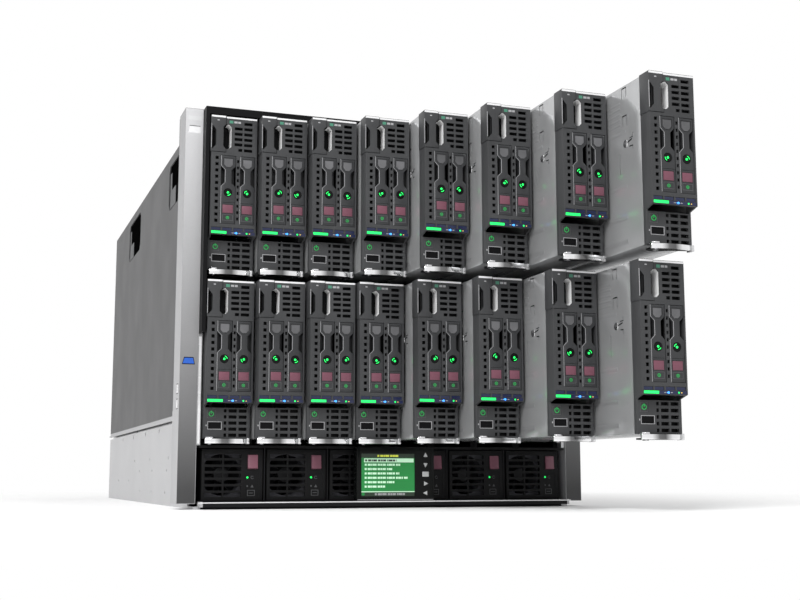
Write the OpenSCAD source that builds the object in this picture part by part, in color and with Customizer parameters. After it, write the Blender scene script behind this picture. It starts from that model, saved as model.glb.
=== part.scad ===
// Rack enclosure for blade servers, ten rack units high. It holds sixteen half-height blades in two
// rows, six power supplies, a sliding status display, a midplane, rear modules and ten fans.
// Millimetres. The origin is the middle of the underside, +X is right as seen from the front,
// +Y runs to the back and +Z is up. The blades stand partly pulled out, each at its own distance.

/* [Blades] */
// Width of a blade's front cover
blade_w = 51.3; // [48:0.1:56]
// Free space between neighbouring blades
blade_gap = 2.9; // [2.6:0.1:4]
// Height of a blade, its lever included
blade_h = 179; // [172:1:190]
// Depth of a blade from its front cover to its rear wall
blade_d = 511; // [440:1:560]
// Height kept free for the deck between the two rows
row_gap = 5.56; // [5.2:0.01:9]
// Distance that each upper blade is pulled out, from left to right
upper_out = [2, 16, 29, 54, 96, 143, 212, 293];
// Distance that each lower blade is pulled out, from left to right
lower_out = [0, 14, 27, 35, 73, 115, 182, 264];
// Sheet thickness of a blade's case
case_t = 1.2; // [0.8:0.1:1.6]
// Depth of the moulded front cover
cover_d = 18; // [16:0.5:24]
// Wall of the moulded front cover
cover_t = 2; // [1.6:0.1:2.4]
// Setback of the lower front panel
panel_setback = 12.7; // [8:0.1:13.5]
// Drop from the blade's top to the indicator strip's lower edge
brow_drop = 134; // [132:0.5:138]

/* [Blade details] */
// Width of a drive carrier's opening
drive_w = 17; // [15:0.1:17]
// Height of a drive carrier's opening
drive_h = 77.5; // [72:0.5:78]
// Drop from the blade's top to the drive openings
drive_drop = 44.5; // [43.5:0.1:45.5]
// Width of the neck of a drive carrier
drive_neck = 7.4; // [5:0.1:10]
// Length of a drive behind its carrier front
drive_len = 100; // [80:1:120]
// Width of the pull grip at the top left
grip_w = 15.8; // [14.8:0.1:16]
// Height of the pull grip
grip_h = 41; // [39:0.5:42]
// Depth of the finger opening beside the grip
grip_depth = 14; // [8:0.5:15]
// Height of a top vent slot
vent_h = 3.4; // [2.4:0.1:4.2]
// Height from one top vent slot to the next
vent_pitch = 6.1; // [5.6:0.1:6.3]

/* [Levers] */
// Height of the space under the blade's case that the lever takes
lever_h = 6.6; // [6.2:0.1:8]
// Radius of the lever's pivot pin
pin_r = 2; // [1.5:0.1:2.4]
// Distance of the pivot from the front cover's face
pivot_back = 8.2; // [7.6:0.1:9]
// Radius of the lever's curved front bar
bar_r = 70; // [55:1:110]
// Thickness of the lever's front bar
bar_t = 2.6; // [1.8:0.1:3.4]

/* [Power supplies] */
// Free space between neighbouring power supplies
psu_gap = 4.6; // [4.2:0.1:6]
// Height of a power supply
psu_h = 56.4; // [54:0.1:58]
// Depth of a power supply
psu_d = 430; // [380:1:450]
// Distance of the power supplies' faces behind the pillars' faces
psu_setback = 6; // [5.5:0.1:9]
// Wall of a power supply's case
psu_t = 1.2; // [0.8:0.1:1.6]

/* [Status display] */
// Width of the display
display_w = 92.5; // [90:0.5:96]
// Thickness of the display
display_t = 12; // [8:0.5:12.5]
// Distance of the display's middle to the right of the enclosure's
display_x = 1.6; // [-60:0.1:60]

/* [Enclosure] */
// Distance that the black trim and the closed blades stand in front of the pillars
proud = 15; // [10:0.5:18]
// Depth of the enclosure from the pillars' faces to the rear frame
body_d = 813; // [790:1:880]
// Sheet thickness of the outer skin
skin_t = 1.6; // [1.2:0.1:2]
// Sheet thickness of the inner walls
liner_t = 1.2; // [0.8:0.1:1.6]
// Free space between a row's end blades and the inner walls
liner_gap = 0.65; // [0.4:0.05:1.2]
// Space between the inner walls and the outer skin
skin_gap = 3.2; // [2.8:0.1:5]
// Thickness of the two blade decks
deck_t = 2.5; // [2:0.1:2.9]
// Thickness of the bottom plate
base_t = 3; // [2:0.1:4]
// Height of the underside of the power supplies
psu_floor = 8.6; // [8:0.1:10]
// Height of the lower side walls
wall_h = 97.6; // [90:0.1:98]
// Height at which the upper side panels begin
panel_z = 101; // [100:0.5:104]
// Space between the upper blades and the underside of the top cover
top_space = 8.2; // [7:0.1:12]
// Width of a front pillar
pillar_w = 20.2; // [19:0.1:24]
// Depth of a front pillar
pillar_d = 38; // [34:0.5:44]
// Wall of a front pillar
pillar_t = 2; // [1.5:0.1:3]
// Thickness of a rack ear
ear_t = 2; // [1.5:0.1:3]
// Distance between the rack screw holes across the enclosure
rack_holes_x = 465.1; // [464:0.1:466]
// Height between the lowest and the highest rack screw hole
rack_holes_z = 400.05; // [380:0.01:410]
// Radius of a rack screw hole
rack_hole_r = 3.4; // [2.8:0.1:4]

/* [Rear] */
// Thickness of the midplane board
board_t = 4; // [2.4:0.1:5]
// Depth of the midplane's connectors
plug_d = 8; // [6:0.5:10]
// Space between the midplane and the rear cage
plenum = 4; // [3:0.5:10]
// Wall of the rear cage
cage_t = 1.6; // [1.2:0.1:2]
// Height of a fan bay
fan_bay_h = 96; // [92:1:98]
// Depth of a fan module
fan_d = 150; // [120:1:180]
// Height of the management module bay
manager_bay_h = 28; // [24:0.5:30]
// Clearance round a module in its bay
bay_clear = 0.3; // [0.2:0.05:0.5]
// Number of blades on a fan rotor
rotor_blades = 7; // [5:1:9]
// Radius of a fan's shaft
shaft_r = 3; // [2:0.1:4]
// Tilt of a fan rotor's blades
rotor_tilt = 35; // [20:1:45]

/* [Clearances] */
// Running clearance between pieces that move past each other
clear = 0.3; // [0.25:0.05:0.4]

/* [Hidden] */
$fn = 48;
columns = 8;                                        // blades in a row
supplies = 6;                                       // power supplies side by side
fans = 5;                                           // fans in a row
e = 1;                                              // overrun of a cut past the face that it opens

// Widths, from the middle outwards
pitch = blade_w + blade_gap;
bay_half = columns * pitch / 2;
liner_in = bay_half + liner_gap;
liner_out = liner_in + liner_t;
skin_in = liner_out + skin_gap;
skin_out = skin_in + skin_t;
ear_out = skin_in + pillar_w;

// Heights, from the underside up
psu_top = psu_floor + psu_h;
deck_z = psu_top + 2 * clear + 0.5;                 // underside of the lower deck
row_z0 = deck_z + deck_t + 2 * clear;               // lowest point of the lower row
row_pitch = blade_h + row_gap;
mid_z = row_z0 + blade_h + 2.5 * clear;             // underside of the deck between the rows
roof_z = row_z0 + row_pitch + blade_h + top_space;  // underside of the top cover
body_top = roof_z + skin_t;
function row_z(r) = row_z0 + r * row_pitch;

// Depths, from the front to the back
front_y = -body_d / 2;
rear_y = body_d / 2;
home_y = front_y - proud;                           // face of a blade that is pushed home
skin_y = front_y + pillar_d + clear;                // front edge of the outer skin and the ears
bay_end_y = home_y + blade_d;
board_y = bay_end_y + clear + plug_d;
cage_y = board_y + board_t + plenum;
psu_y = front_y + psu_setback;

function col_x(c) = (c - (columns + 1) / 2) * pitch;
function out_at(r, c) = r == 1 ? upper_out[c - 1] : lower_out[c - 1];
function down(drop) = blade_h - drop;

// A flat outline in X and Z, drawn by the children, made solid from y to y + t
module slab(y, t) { translate([0, y + t, 0]) rotate([90, 0, 0]) linear_extrude(t) children(); }

// A flat outline in Y and Z, drawn by the children, made solid from x to x + t
module side_slab(x, t) {
    translate([x, 0, 0]) rotate([90, 0, 90]) linear_extrude(t) children();
}

// A block between two corners
module block(low, high) { translate(low) cube(high - low); }

// A rectangle from its low corner, with all four corners cut at 45 degrees
module cut_rect(w, h, c) {
    polygon([[c, 0], [w - c, 0], [w, c], [w, h - c], [w - c, h], [c, h], [0, h - c], [0, c]]);
}

// ---------------------------------------------------------------- blades

left_x = -blade_w / 2;
case_half = blade_w / 2 - clear;
drive_x = [left_x + 10.8, -left_x - cover_t - drive_w]; // left edges of the two drive openings
strip_h = 4.2;                                      // height of the indicator strip
recess_h = 3.8;                                     // height of the four recesses above it
panel_top = brow_drop + 3.6;                        // drop to the lower panel's upper edge
panel_room = blade_h - lever_h - panel_top;         // height of the lower panel
panel_pitch = 0.19 * panel_room;                    // height from one air slot row to the next
function panel_drop(share) = panel_top + share * panel_room;
pivot_x = left_x + 6.5;

// Outline of the front cover seen from the side, with its brow over the lower panel
module cover_profile(wall) {
    back = wall > 0 ? cover_d + e : cover_d;
    polygon([
        [wall, down(1.4 + wall)], [wall + 1.2, down(wall)], [back, down(wall)], [back, lever_h + wall],
        [panel_setback + wall, lever_h + wall], [panel_setback + wall, down(panel_top + wall)],
        [wall, down(brow_drop + wall)]
    ]);
}

// Outline of one drive carrier's front: a head, a narrow neck and a long foot
module carrier_outline(play) {
    w = drive_w - 2 * play;
    n = (w - drive_neck) / 2;
    head = 12;
    neck_end = 31;
    translate([play, play]) polygon([
        [0, 0], [w, 0], [w, drive_h - neck_end - n - play], [w - n, drive_h - neck_end - play],
        [w - n, drive_h - head - n - play], [w, drive_h - head - play], [w, drive_h - 2 * play],
        [0, drive_h - 2 * play], [0, drive_h - head - play], [n, drive_h - head - n - play],
        [n, drive_h - neck_end - play], [0, drive_h - neck_end - n - play]
    ]);
}

// All openings of the front cover above the brow
module cover_holes() {
    for (k = [0:5]) translate([left_x + 36.4, down(5.4 + k * vent_pitch + vent_h)]) square([9.4, vent_h]);
    for (k = [1:4]) translate([left_x + 25.6, down(5.4 + k * vent_pitch + vent_h)]) square([9, vent_h]);
    translate([left_x + 30, down(5.4 + 5 * vent_pitch + vent_h)]) square([4.6, vent_h]);
    for (k = [0:10]) translate([left_x + 4.6, down(49.7 + k * 7.1)]) square([3.6, 3.6]);
    for (k = [0:9]) translate([left_x + 28.9, down(52.4 + k * 7.25)]) square([2.4, 3.4]);
    for (x = drive_x) translate([x, down(drive_drop + drive_h)]) square([drive_w, drive_h]);
}

// Openings of the lower panel: the air slots and the service port
module panel_holes() {
    slot_h = 0.545 * panel_pitch;
    for (k = [0:4]) translate([0, down(panel_drop(0.184) + k * panel_pitch)]) {
        translate([left_x + 22.4, 0]) square([3, slot_h]);
        translate([left_x + 27.6, 0]) square([9, slot_h]);
        translate([left_x + 38.8, 0]) square([9, slot_h]);
    }
}

// The finger opening beside the pull grip, with 45 degree corners on its right
module finger_opening() {
    x0 = left_x + 12.9;
    polygon([
        [x0, down(12)], [x0 + 2.8, down(9.2)], [x0 + 6.4, down(9.2)], [x0 + 9.2, down(12)],
        [x0 + 9.2, down(34.6)], [x0 + 6.4, down(37.4)], [x0 + 2.8, down(37.4)], [x0, down(34.6)]
    ]);
}

// The pull grip: a spool outline with a waist on both sides, wrapped round the cover's left edge
module grip() {
    right = left_x + grip_w;
    difference() {
        slab(-0.8, cover_d) polygon([
            [left_x - 0.8, down(grip_h)], [right, down(grip_h)], [right, down(37.4)],
            [right - 2.9, down(34.6)], [right - 2.9, down(12)], [right, down(9.2)], [right, down(-0.4)],
            [left_x - 0.8, down(-0.4)]
        ]);
        // The left waist is a slot between the grip's face and its side wall
        slab(-0.8 - e, 8) polygon([
            [left_x, down(10)], [left_x + 2.6, down(12.6)], [left_x + 2.6, down(33.8)],
            [left_x, down(36.4)]
        ]);
    }
}

module blade_cover() {
    color("#3a3c40") difference() {
        side_slab(left_x, blade_w) cover_profile(0);
        side_slab(left_x + cover_t, blade_w - 2 * cover_t) cover_profile(cover_t);
        slab(-e, cover_t + 2 * e) cover_holes();
        slab(panel_setback - e, cover_t + 2 * e) panel_holes();
        // Four shallow recesses over the indicator strip, and the strip's own step
        for (k = [0:3]) block(
            [left_x + 1.2 + k * 12.4, -e, down(brow_drop - strip_h)],
            [left_x + 12 + k * 12.4, cover_t / 2, down(brow_drop - strip_h - recess_h)]
        );
        block(
            [left_x + 1.2, -e, down(brow_drop - 0.4)],
            [-left_x - 1.2, 0.5, down(brow_drop - strip_h + 0.3)]
        );
        // Service port in the lower panel
        block([left_x + 5, panel_setback - e, down(panel_drop(0.707))], [left_x + 19.8, panel_setback + 1.2, down(panel_drop(0.483))]);
    }
    // Tub behind the finger opening
    color("#b9bbbd") difference() {
        slab(cover_t / 2, grip_depth) translate([left_x + 11, down(39)]) square([13, 31.4]);
        slab(cover_t / 2 - e, grip_depth) finger_opening();
    }
    // Indicator strip and power button
    color("#2bdc4f") block([left_x + 1.4, 0.1, down(brow_drop - 0.6)], [left_x + 18.4, cover_t / 2, down(brow_drop - strip_h + 0.5)]);
    color("#2bdc4f") translate([left_x + 8.6, panel_setback + e, down(panel_drop(0.236))]) rotate([90, 0, 0]) cylinder(h = 1.6 + e, r = 0.098 * panel_room);
}

// Sheet metal case behind the cover, open towards it, with its rear wall and a connector window
module blade_case() {
    color("#a9abad") difference() {
        block([-case_half, cover_d - 2, lever_h], [case_half, blade_d, down(clear)]);
        block([-case_half + case_t, cover_d - 2 - e, lever_h + case_t], [case_half - case_t, blade_d - case_t, down(clear + case_t)]);
        block([-12, blade_d - case_t - e, down(149)], [12, blade_d + e, down(59)]);
    }
}

// Mainboard on the right wall, two processor coolers and the connector in the rear window
module blade_board() {
    wall = case_half - case_t;
    color("#1f6b3a") block([wall - 4, 130, lever_h + 6], [wall, blade_d - case_t, down(8)]);
    for (y = [0.41 * blade_d, 0.685 * blade_d]) color("silver")
        for (z = [0:5]) block([wall - 30, y, 45 + z * 14], [wall - 3, y + 80, 52 + z * 14]);
    color("#222326") block([-11.5, blade_d - 26, down(148.5)], [wall - 3, blade_d, down(59.5)]);
}

module drive_carrier(x) {
    color("#55575b") translate([x, 0, down(drive_drop + drive_h)]) {
        slab(0.4, 9) carrier_outline(clear);
        slab(9, 4) translate([clear, clear]) square([drive_w - 2 * clear, drive_h - 2 * clear]);
        translate([1, 12, 3]) cube([drive_w - 2, drive_len, drive_h - 6]);
    }
}

// Pin on which the lever turns, the lug that carries it, and the latch at the bar's free end
module lever_pin() {
    color("silver") translate([pivot_x, pivot_back, 0]) {
        cylinder(h = lever_h + e, r = pin_r);
        cylinder(h = 0.7, r = pin_r + 1.4);
        translate([0, 0, lever_h]) linear_extrude(1.6) polygon([
            [-pin_r - 2.6, panel_setback + e - pivot_back], [-pin_r - 2.6, -1.4], [-pin_r - 0.6, -pin_r - 1.8],
            [pin_r + 0.6, -pin_r - 1.8], [pin_r + 4.6, 1.4], [pin_r + 4.6, panel_setback + e - pivot_back]
        ]);
    }
    color("#6c6e72") block([-left_x - 4.6, panel_setback - 6, 0.9], [-left_x - 1.4, panel_setback + 3, lever_h + e]);
}

module blade() {
    difference() {
        union() {
            blade_cover();
            grip();
        }
        slab(-2 * e, grip_depth + 2 * e) finger_opening();
    }
    blade_case();
    blade_board();
    lever_pin();
    for (x = drive_x) drive_carrier(x);
}

// Lever: a curved front bar, a flat plate behind it and a hub with a claw round the pin
module lever() {
    z0 = 0.7 + clear;
    z1 = lever_h - clear;
    bar_end = -left_x - 4.6 - clear;
    centre_y = 1.4 + bar_r;
    reach = bar_end - pivot_x;
    translate([0, 0, z0]) difference() {
        union() {
            color("#d5d7d9") intersection() {
                translate([-1, centre_y, 0]) difference() {
                    cylinder(h = z1 - z0, r = bar_r, $fn = 96);
                    translate([0, 0, -e]) cylinder(h = z1 - z0 + 2 * e, r = bar_r - bar_t, $fn = 96);
                }
                block([left_x + 0.8, 0, 0], [bar_end, 12, z1 - z0]);
            }
            color("#1c1d1f") intersection() {
                translate([-1, centre_y, 0]) cylinder(h = 1.6, r = bar_r - bar_t / 2, $fn = 96);
                linear_extrude(1.6) polygon([
                    [left_x + 0.8, 0], [bar_end, 0], [bar_end, 8], [pivot_x + reach / 2, 12],
                    [pivot_x + 6, 20], [pivot_x + 1, 21], [left_x + 0.8, 17]
                ]);
            }
            color("#8a8c8f") translate([pivot_x, pivot_back, 0]) cylinder(h = z1 - z0, r = pin_r + 2.2);
            color("#8a8c8f") linear_extrude(2.6) translate([pivot_x, pivot_back]) polygon([
                [-2, 2], [4, 0], [6.5, 5], [4.6, 8.6], [1.8, 9.4], [2.6, 6]
            ]);
        }
        translate([pivot_x, pivot_back, -e]) cylinder(h = lever_h + 2 * e, r = pin_r + clear);
    }
}

module blade_at(r, c) { translate([col_x(c), home_y - out_at(r, c), row_z(r)]) blade(); }
module lever_at(r, c) { translate([col_x(c), home_y - out_at(r, c), row_z(r)]) lever(); }

// ---------------------------------------------------------------- power supplies

psu_pitch = 2 * bay_half / supplies;
psu_half = (psu_pitch - psu_gap) / 2;
function psu_x(k) = (k - (supplies + 1) / 2) * psu_pitch;

module psu_fan(depth) {
    translate([-psu_half + 24, 0, psu_h / 2]) rotate([-90, 0, 0]) {
        cylinder(h = depth, r = 9);
        for (a = [0:6]) rotate(a * 360 / 7) rotate([40, 0, 0]) translate([6, -5, 4]) cube([16, 10, 1.4]);
    }
}

module psu() {
    color("#232427") difference() {
        block([-psu_half, 0, 0], [psu_half, psu_d, psu_h]);
        block([-psu_half + psu_t, 3, psu_t], [psu_half - psu_t, psu_d - psu_t, psu_h - psu_t]);
        // Two columns of air slots in the face
        slab(-e, 3 + 2 * e) for (x = [3.4, 24.4]) for (k = [0:6])
            translate([-psu_half + x, 4.4 + k * 7]) square([19, 4.4]);
        // Rear outlet slots
        slab(psu_d - psu_t - e, psu_t + 2 * e) for (k = [0:6])
            translate([-psu_half + 6, 5 + k * 7]) square([2 * psu_half - 12, 3.6]);
        // Shallow indicator field
        block([psu_half - 19, -e, 4], [psu_half - 4, 0.5, 30]);
    }
    color("#3a3b3e") translate([0, 12, 0]) difference() {
        block([-psu_half + 0.8, 0, 0.8], [-psu_half + 47, 24, psu_h - 0.8]);
        translate([-psu_half + 24, -e, psu_h / 2]) rotate([-90, 0, 0]) cylinder(h = 24 + 2 * e, r = 22.6);
    }
    color("#2e2f32") block([-psu_half + 4, 34, psu_h / 2 - 3], [-psu_half + 44, 37, psu_h / 2 + 3]);
    color("#4a4b4e") translate([0, 14, 0]) psu_fan(21);
    // Release latch: a sloped tab with a lower lip
    color("#b0657a") side_slab(psu_half - 17, 11) polygon([
        [1, psu_h - 6], [-1.6, psu_h - 6.6], [-2.4, psu_h - 19], [-3.4, psu_h - 21], [-1, psu_h - 22], [1, psu_h - 22]
    ]);
}

module psu_at(k) { translate([psu_x(k), psu_y, psu_floor]) psu(); }

// ---------------------------------------------------------------- status display

rail_y = front_y - 1.5;                             // face of the rail that carries the display
display_y = rail_y - clear - display_t;
display_z = psu_floor - 0.1;
display_h = row_z0 - 3 * clear - display_z;

module display() {
    half = display_w / 2;
    translate([display_x, display_y, display_z]) {
        color("#17181a") difference() {
            slab(0, display_t) translate([-half, 0]) cut_rect(display_w, display_h, 1.5);
            block([-half + 5.5, -e, 4.5], [-half + 69, 1.2, display_h - 8]);
            block([-half + 73.5, -e, 3], [half - 4, 0.8, display_h - 5]);
        }
        for (k = [0:4]) color("#8f9296")
            block([half - 14.5, -0.6, 5 + k * 10.6], [half - 6.5, 1.6, 10.6 + k * 10.6]);
        // Hook that hangs over the back of the rail
        for (side = [-1, 1]) color("#8f9296") side_slab(side * (half - 16) - 7, 14) polygon([
            [display_t - e, rail_low - 2 * clear - 1.6], [display_t + hook_y + 1.5, rail_low - 2 * clear - 1.6],
            [display_t + hook_y + 1.5, rail_low + 1.6], [display_t + hook_y, rail_low + 1.6],
            [display_t + hook_y, rail_low - 2 * clear], [display_t - e, rail_low - 2 * clear]
        ]);
    }
}
rail_d = 2.4;                                       // depth of the rail
rail_low = deck_z - 0.4 - display_z;                // underside of the rail, from the display's foot
hook_y = rail_d + 2 * clear;                        // front of the hook's tab, from the display's back

// ---------------------------------------------------------------- enclosure

lever_room = front_y + 13;                          // the guides start behind the levers' path
guide_w = 1.4;                                      // fin between two blades
ledge_w = 9;                                        // ledge that carries two blades' edges
fin_h = 8;

// Floor guides of one deck: a ledge under the cases with a fin that stands between them
module floor_guides(z, row) {
    for (k = [0:columns]) intersection() {
        union() {
            block([(k - columns / 2) * pitch - ledge_w / 2, lever_room, z - 0.1], [(k - columns / 2) * pitch + ledge_w / 2, bay_end_y, row_z(row) + lever_h - clear]);
            block([(k - columns / 2) * pitch - guide_w / 2, lever_room, z], [(k - columns / 2) * pitch + guide_w / 2, bay_end_y, row_z(row) + lever_h + fin_h]);
        }
        block([-liner_in, front_y, z - 1], [liner_in, bay_end_y + e, z + 40]);
    }
}

module decks() {
    // Lower deck over the power supplies, with the display's rail along its front edge
    color("#8d9093") union() {
        block([-skin_in, front_y + 4, deck_z], [skin_in, board_y, deck_z + deck_t]);
        floor_guides(deck_z + deck_t, 0);
    }
    color("#4b4d50") {
        block([-liner_out, rail_y, deck_z - 0.4], [liner_out, rail_y + rail_d, deck_z + deck_t]);
        for (side = [-1, 1]) block(
            [side * (liner_out - 5) - 5, rail_y, deck_z], [side * (liner_out - 5) + 5, front_y + 4 + e, deck_z + deck_t]
        );
    }
    // Deck between the rows
    color("#8d9093") union() {
        block([-liner_in, front_y + 4, mid_z], [liner_in, board_y, mid_z + deck_t]);
        floor_guides(mid_z + deck_t, 1);
        for (k = [1:columns - 1]) block(
            [(k - columns / 2) * pitch - guide_w / 2, lever_room, mid_z - 0.75 - fin_h],
            [(k - columns / 2) * pitch + guide_w / 2, bay_end_y, mid_z + 0.1]
        );
    }
}

// Bottom plate with low side walls, the front sill and the walls between the power supplies
module base_pan() {
    color("#2a2b2d") block([-skin_out, front_y + 1.5, 0], [skin_out, rear_y, base_t]);
    for (side = [-1, 1]) color("#b4b6b8") difference() {
        block(
            [side > 0 ? skin_in : -skin_out, skin_y, base_t - 0.5], [side > 0 ? skin_out : -skin_in, rear_y, wall_h]
        );
        // Five large and eleven small holes along the wall
        for (k = [0:4]) hole_in_wall(side, skin_y + 95 + k * 126, wall_h - 5, 3);
        for (k = [0:2]) {
            hole_in_wall(side, skin_y + 143 + k * 155, wall_h - 40, 2);
            hole_in_wall(side, skin_y + 156 + k * 120, wall_h - 55, 2);
            hole_in_wall(side, skin_y + 163 + k * 116, wall_h - 82, 2);
        }
        for (k = [0:1]) hole_in_wall(side, skin_y + 514 + k * 126, wall_h - 68, 2);
    }
    // Ledges under the power supplies and the walls between them
    color("#9a9c9e") for (k = [1:supplies - 1]) block(
        [psu_x(k) + psu_pitch / 2 - 0.75, psu_y + 2, base_t - 0.5],
        [psu_x(k) + psu_pitch / 2 + 0.75, psu_y + psu_d, deck_z]
    );
    color("#9a9c9e") for (k = [1:supplies]) for (side = [-1, 1]) block(
        [psu_x(k) + side * (psu_half - 5) - 3, psu_y + 2, base_t - 0.5],
        [psu_x(k) + side * (psu_half - 5) + 3, psu_y + psu_d, psu_floor - clear]
    );
    // Sill along the front, on which the display slides
    color("#c9cbcd") difference() {
        block([-liner_out, display_y, base_t - 0.5], [liner_out, front_y + 4.5, display_z - clear]);
        for (x = [-63, 76]) block([x - 2, display_y - e, display_z - clear - 1.6], [x + 2, front_y + 6, display_z]);
    }
}

module hole_in_wall(side, y, z, r) {
    translate([side * (skin_in - e) , y, z]) rotate([0, side * 90, 0]) cylinder(h = skin_t + 2 * e, r = r);
}

handle_l = 130;                                     // length and height of a lift handle's slot
handle_h = 58;

// Upper outer skin with the rack ears and the slots for the lift handles
module side_panels() {
    for (side = [-1, 1]) {
        color("#7d8083") difference() {
            block([side > 0 ? skin_in : -skin_out, skin_y, panel_z], [side > 0 ? skin_out : -skin_in, rear_y, roof_z]);
            for (y = [skin_y + 62, rear_y - 312]) side_slab(side > 0 ? skin_in - e : -skin_out - e, skin_t + 2 * e)
                translate([y, roof_z - 10 - handle_h]) cut_rect(handle_l, handle_h, 8);
        }
        // Hem along the lower edge
        color("#c4c6c8") block(
            [side > 0 ? skin_out - 0.5 : -skin_out - 1.5, skin_y, panel_z],
            [side > 0 ? skin_out + 1.5 : -skin_out + 0.5, rear_y, panel_z + 2.4]
        );
        color("#8d9093") difference() {
            block([side > 0 ? skin_in : -ear_out, skin_y, base_t + 3], [side > 0 ? ear_out : -skin_in, skin_y + ear_t, roof_z]);
            for (z = [rack_z, rack_z + rack_holes_z])
                translate([side * rack_holes_x / 2, skin_y - e, z]) rotate([-90, 0, 0]) cylinder(h = ear_t + 2 * e, r = rack_hole_r);
            // The ear leaves the lower side wall free
            block([side > 0 ? skin_in - e : -skin_out - clear, skin_y - e, 0], [side > 0 ? skin_out + clear : -skin_in + e, skin_y + ear_t + e, wall_h + clear]);
        }
    }
}
rack_z = 22.2;                                      // height of the lowest rack screw hole

// Inner walls of the blade bays, with a flange along the front edge
module inner_walls() {
    for (side = [-1, 1]) color("#c2c4c6") {
        block(
            [side > 0 ? liner_in : -liner_out, front_y + 4, deck_z + deck_t], [side > 0 ? liner_out : -liner_in, board_y, roof_z]
        );
        block(
            [side > 0 ? liner_in : -skin_in, front_y + 2, deck_z + deck_t], [side > 0 ? skin_in : -liner_in, front_y + 4 + 0.5, roof_z]
        );
    }
}

module top_cover() {
    color("#86898c") {
        block([-skin_out, skin_y, roof_z], [skin_out, rear_y, body_top]);
        block([-skin_in, front_y + 2, roof_z], [skin_in, skin_y + e, body_top]);
    }
    // Roof guides between the upper blades
    color("#8d9093") for (k = [1:columns - 1]) block(
        [(k - columns / 2) * pitch - guide_w / 2, lever_room, row_z(1) + blade_h - fin_h],
        [(k - columns / 2) * pitch + guide_w / 2, bay_end_y, roof_z + 0.5]
    );
}

// Circuit board across the bays with one connector block for each blade and two busbar blocks
module midplane() {
    color("#1f6b3a") block([-liner_in, board_y, deck_z + deck_t], [liner_in, board_y + board_t, roof_z]);
    color("#222326") for (r = [0, 1]) for (c = [1:columns])
        block([col_x(c) - 11, bay_end_y + clear, row_z(r) + down(147)], [col_x(c) + 11, board_y + 0.5, row_z(r) + down(61)]);
}

// Front pillars over the rack ears: hollow mouldings, open at the back
module pillars() {
    for (side = [-1, 1]) color("#a3a5a8") difference() {
        block([side > 0 ? skin_in : -ear_out, front_y, base_t + 3], [side > 0 ? ear_out : -skin_in, front_y + pillar_d, body_top + 1]);
        block(
            [side > 0 ? skin_in + pillar_t : -ear_out + pillar_t, front_y + pillar_t, base_t + 3 + pillar_t],
            [side > 0 ? ear_out - pillar_t : -skin_in - pillar_t, front_y + pillar_d + e, body_top + 1 - pillar_t]
        );
        // Plate seat and a small window in the face
        block([side * (skin_in + pillar_w / 2) - 7.5, front_y - e, body_top - 12], [side * (skin_in + pillar_w / 2) + 7.5, front_y + 0.4, body_top - 6]);
        slab(front_y - e, e + 0.8) translate([side * (skin_in + pillar_w / 2) - 6, body_top - 27]) polygon([[0, 0], [12, 0], [9.5, 7], [2.5, 7]]);
        slab(front_y - e, e + 0.8) translate([side * (skin_in + pillar_w / 2) - 6, 157]) polygon([[2, 0], [10, 0], [12, 6], [0, 6]]);
    }
}

// Black trim round the blade rows: a lintel and two posts that end above the lower row's middle
module front_trim() {
    post_w = 4.2;
    post_end = row_z0 + 0.676 * blade_h;
    color("#121315") slab(home_y, proud + 1.8) union() {
        translate([-skin_in + clear, body_top - 7.6]) square([2 * (skin_in - clear), 8.4]);
        for (side = [-1, 1]) translate([side > 0 ? skin_in - clear - post_w : -skin_in + clear, post_end])
            square([post_w, body_top - post_end]);
    }
}

// ---------------------------------------------------------------- rear

cage_out = liner_out;                               // half width of the rear cage
cage_in = cage_out - cage_t;
switches = 4;                                       // interconnect bays above each other
inlet_bay_h = psu_h + 2 * clear;                    // height of the power inlet bay
inlet_top = base_t + cage_t + inlet_bay_h;
// The interconnect bays share the height that the fans and the managers leave
switch_bay_h = (roof_z - inlet_top - 2 * fan_bay_h - manager_bay_h - (4 + switches) * cage_t) / switches;
fan_pitch = (2 * cage_out - cage_t) / fans;
fan_w = fan_pitch - cage_t - 2 * bay_clear;
fan_h = fan_bay_h - 2 * bay_clear;
lower_fan_z = inlet_top + cage_t;
manager_z = lower_fan_z + fan_bay_h + cage_t;
switch_z = manager_z + manager_bay_h + cage_t;
switch_pitch = switch_bay_h + cage_t;
upper_fan_z = roof_z - cage_t - fan_bay_h;
duct_r = fan_w / 2 - 3.2;
rotor_r = duct_r - 1.6;
function fan_x(k) = (k - (fans + 1) / 2) * fan_pitch;
function fan_z(r) = (r == 1 ? upper_fan_z : lower_fan_z) + fan_bay_h / 2;

// Egg-crate of sheet walls that holds every rear module
module rear_cage() {
    color("#8d9093") slab(cage_y, rear_y - cage_y) difference() {
        translate([-cage_out, base_t]) square([2 * cage_out, roof_z - base_t]);
        for (z = [lower_fan_z, upper_fan_z]) for (k = [1:fans])
            translate([fan_x(k) - fan_pitch / 2 + cage_t / 2, z]) square([fan_pitch - cage_t, fan_bay_h]);
        for (side = [0, 1]) {
            x = side * (cage_in + cage_t / 2) - cage_in;
            translate([x, manager_z]) square([cage_in - cage_t / 2, manager_bay_h]);
            for (k = [0:switches - 1]) translate([x, switch_z + k * switch_pitch]) square([cage_in - cage_t / 2, switch_bay_h]);
        }
        translate([-cage_in, base_t + cage_t]) square([2 * cage_in, inlet_bay_h]);
    }
}

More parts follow.
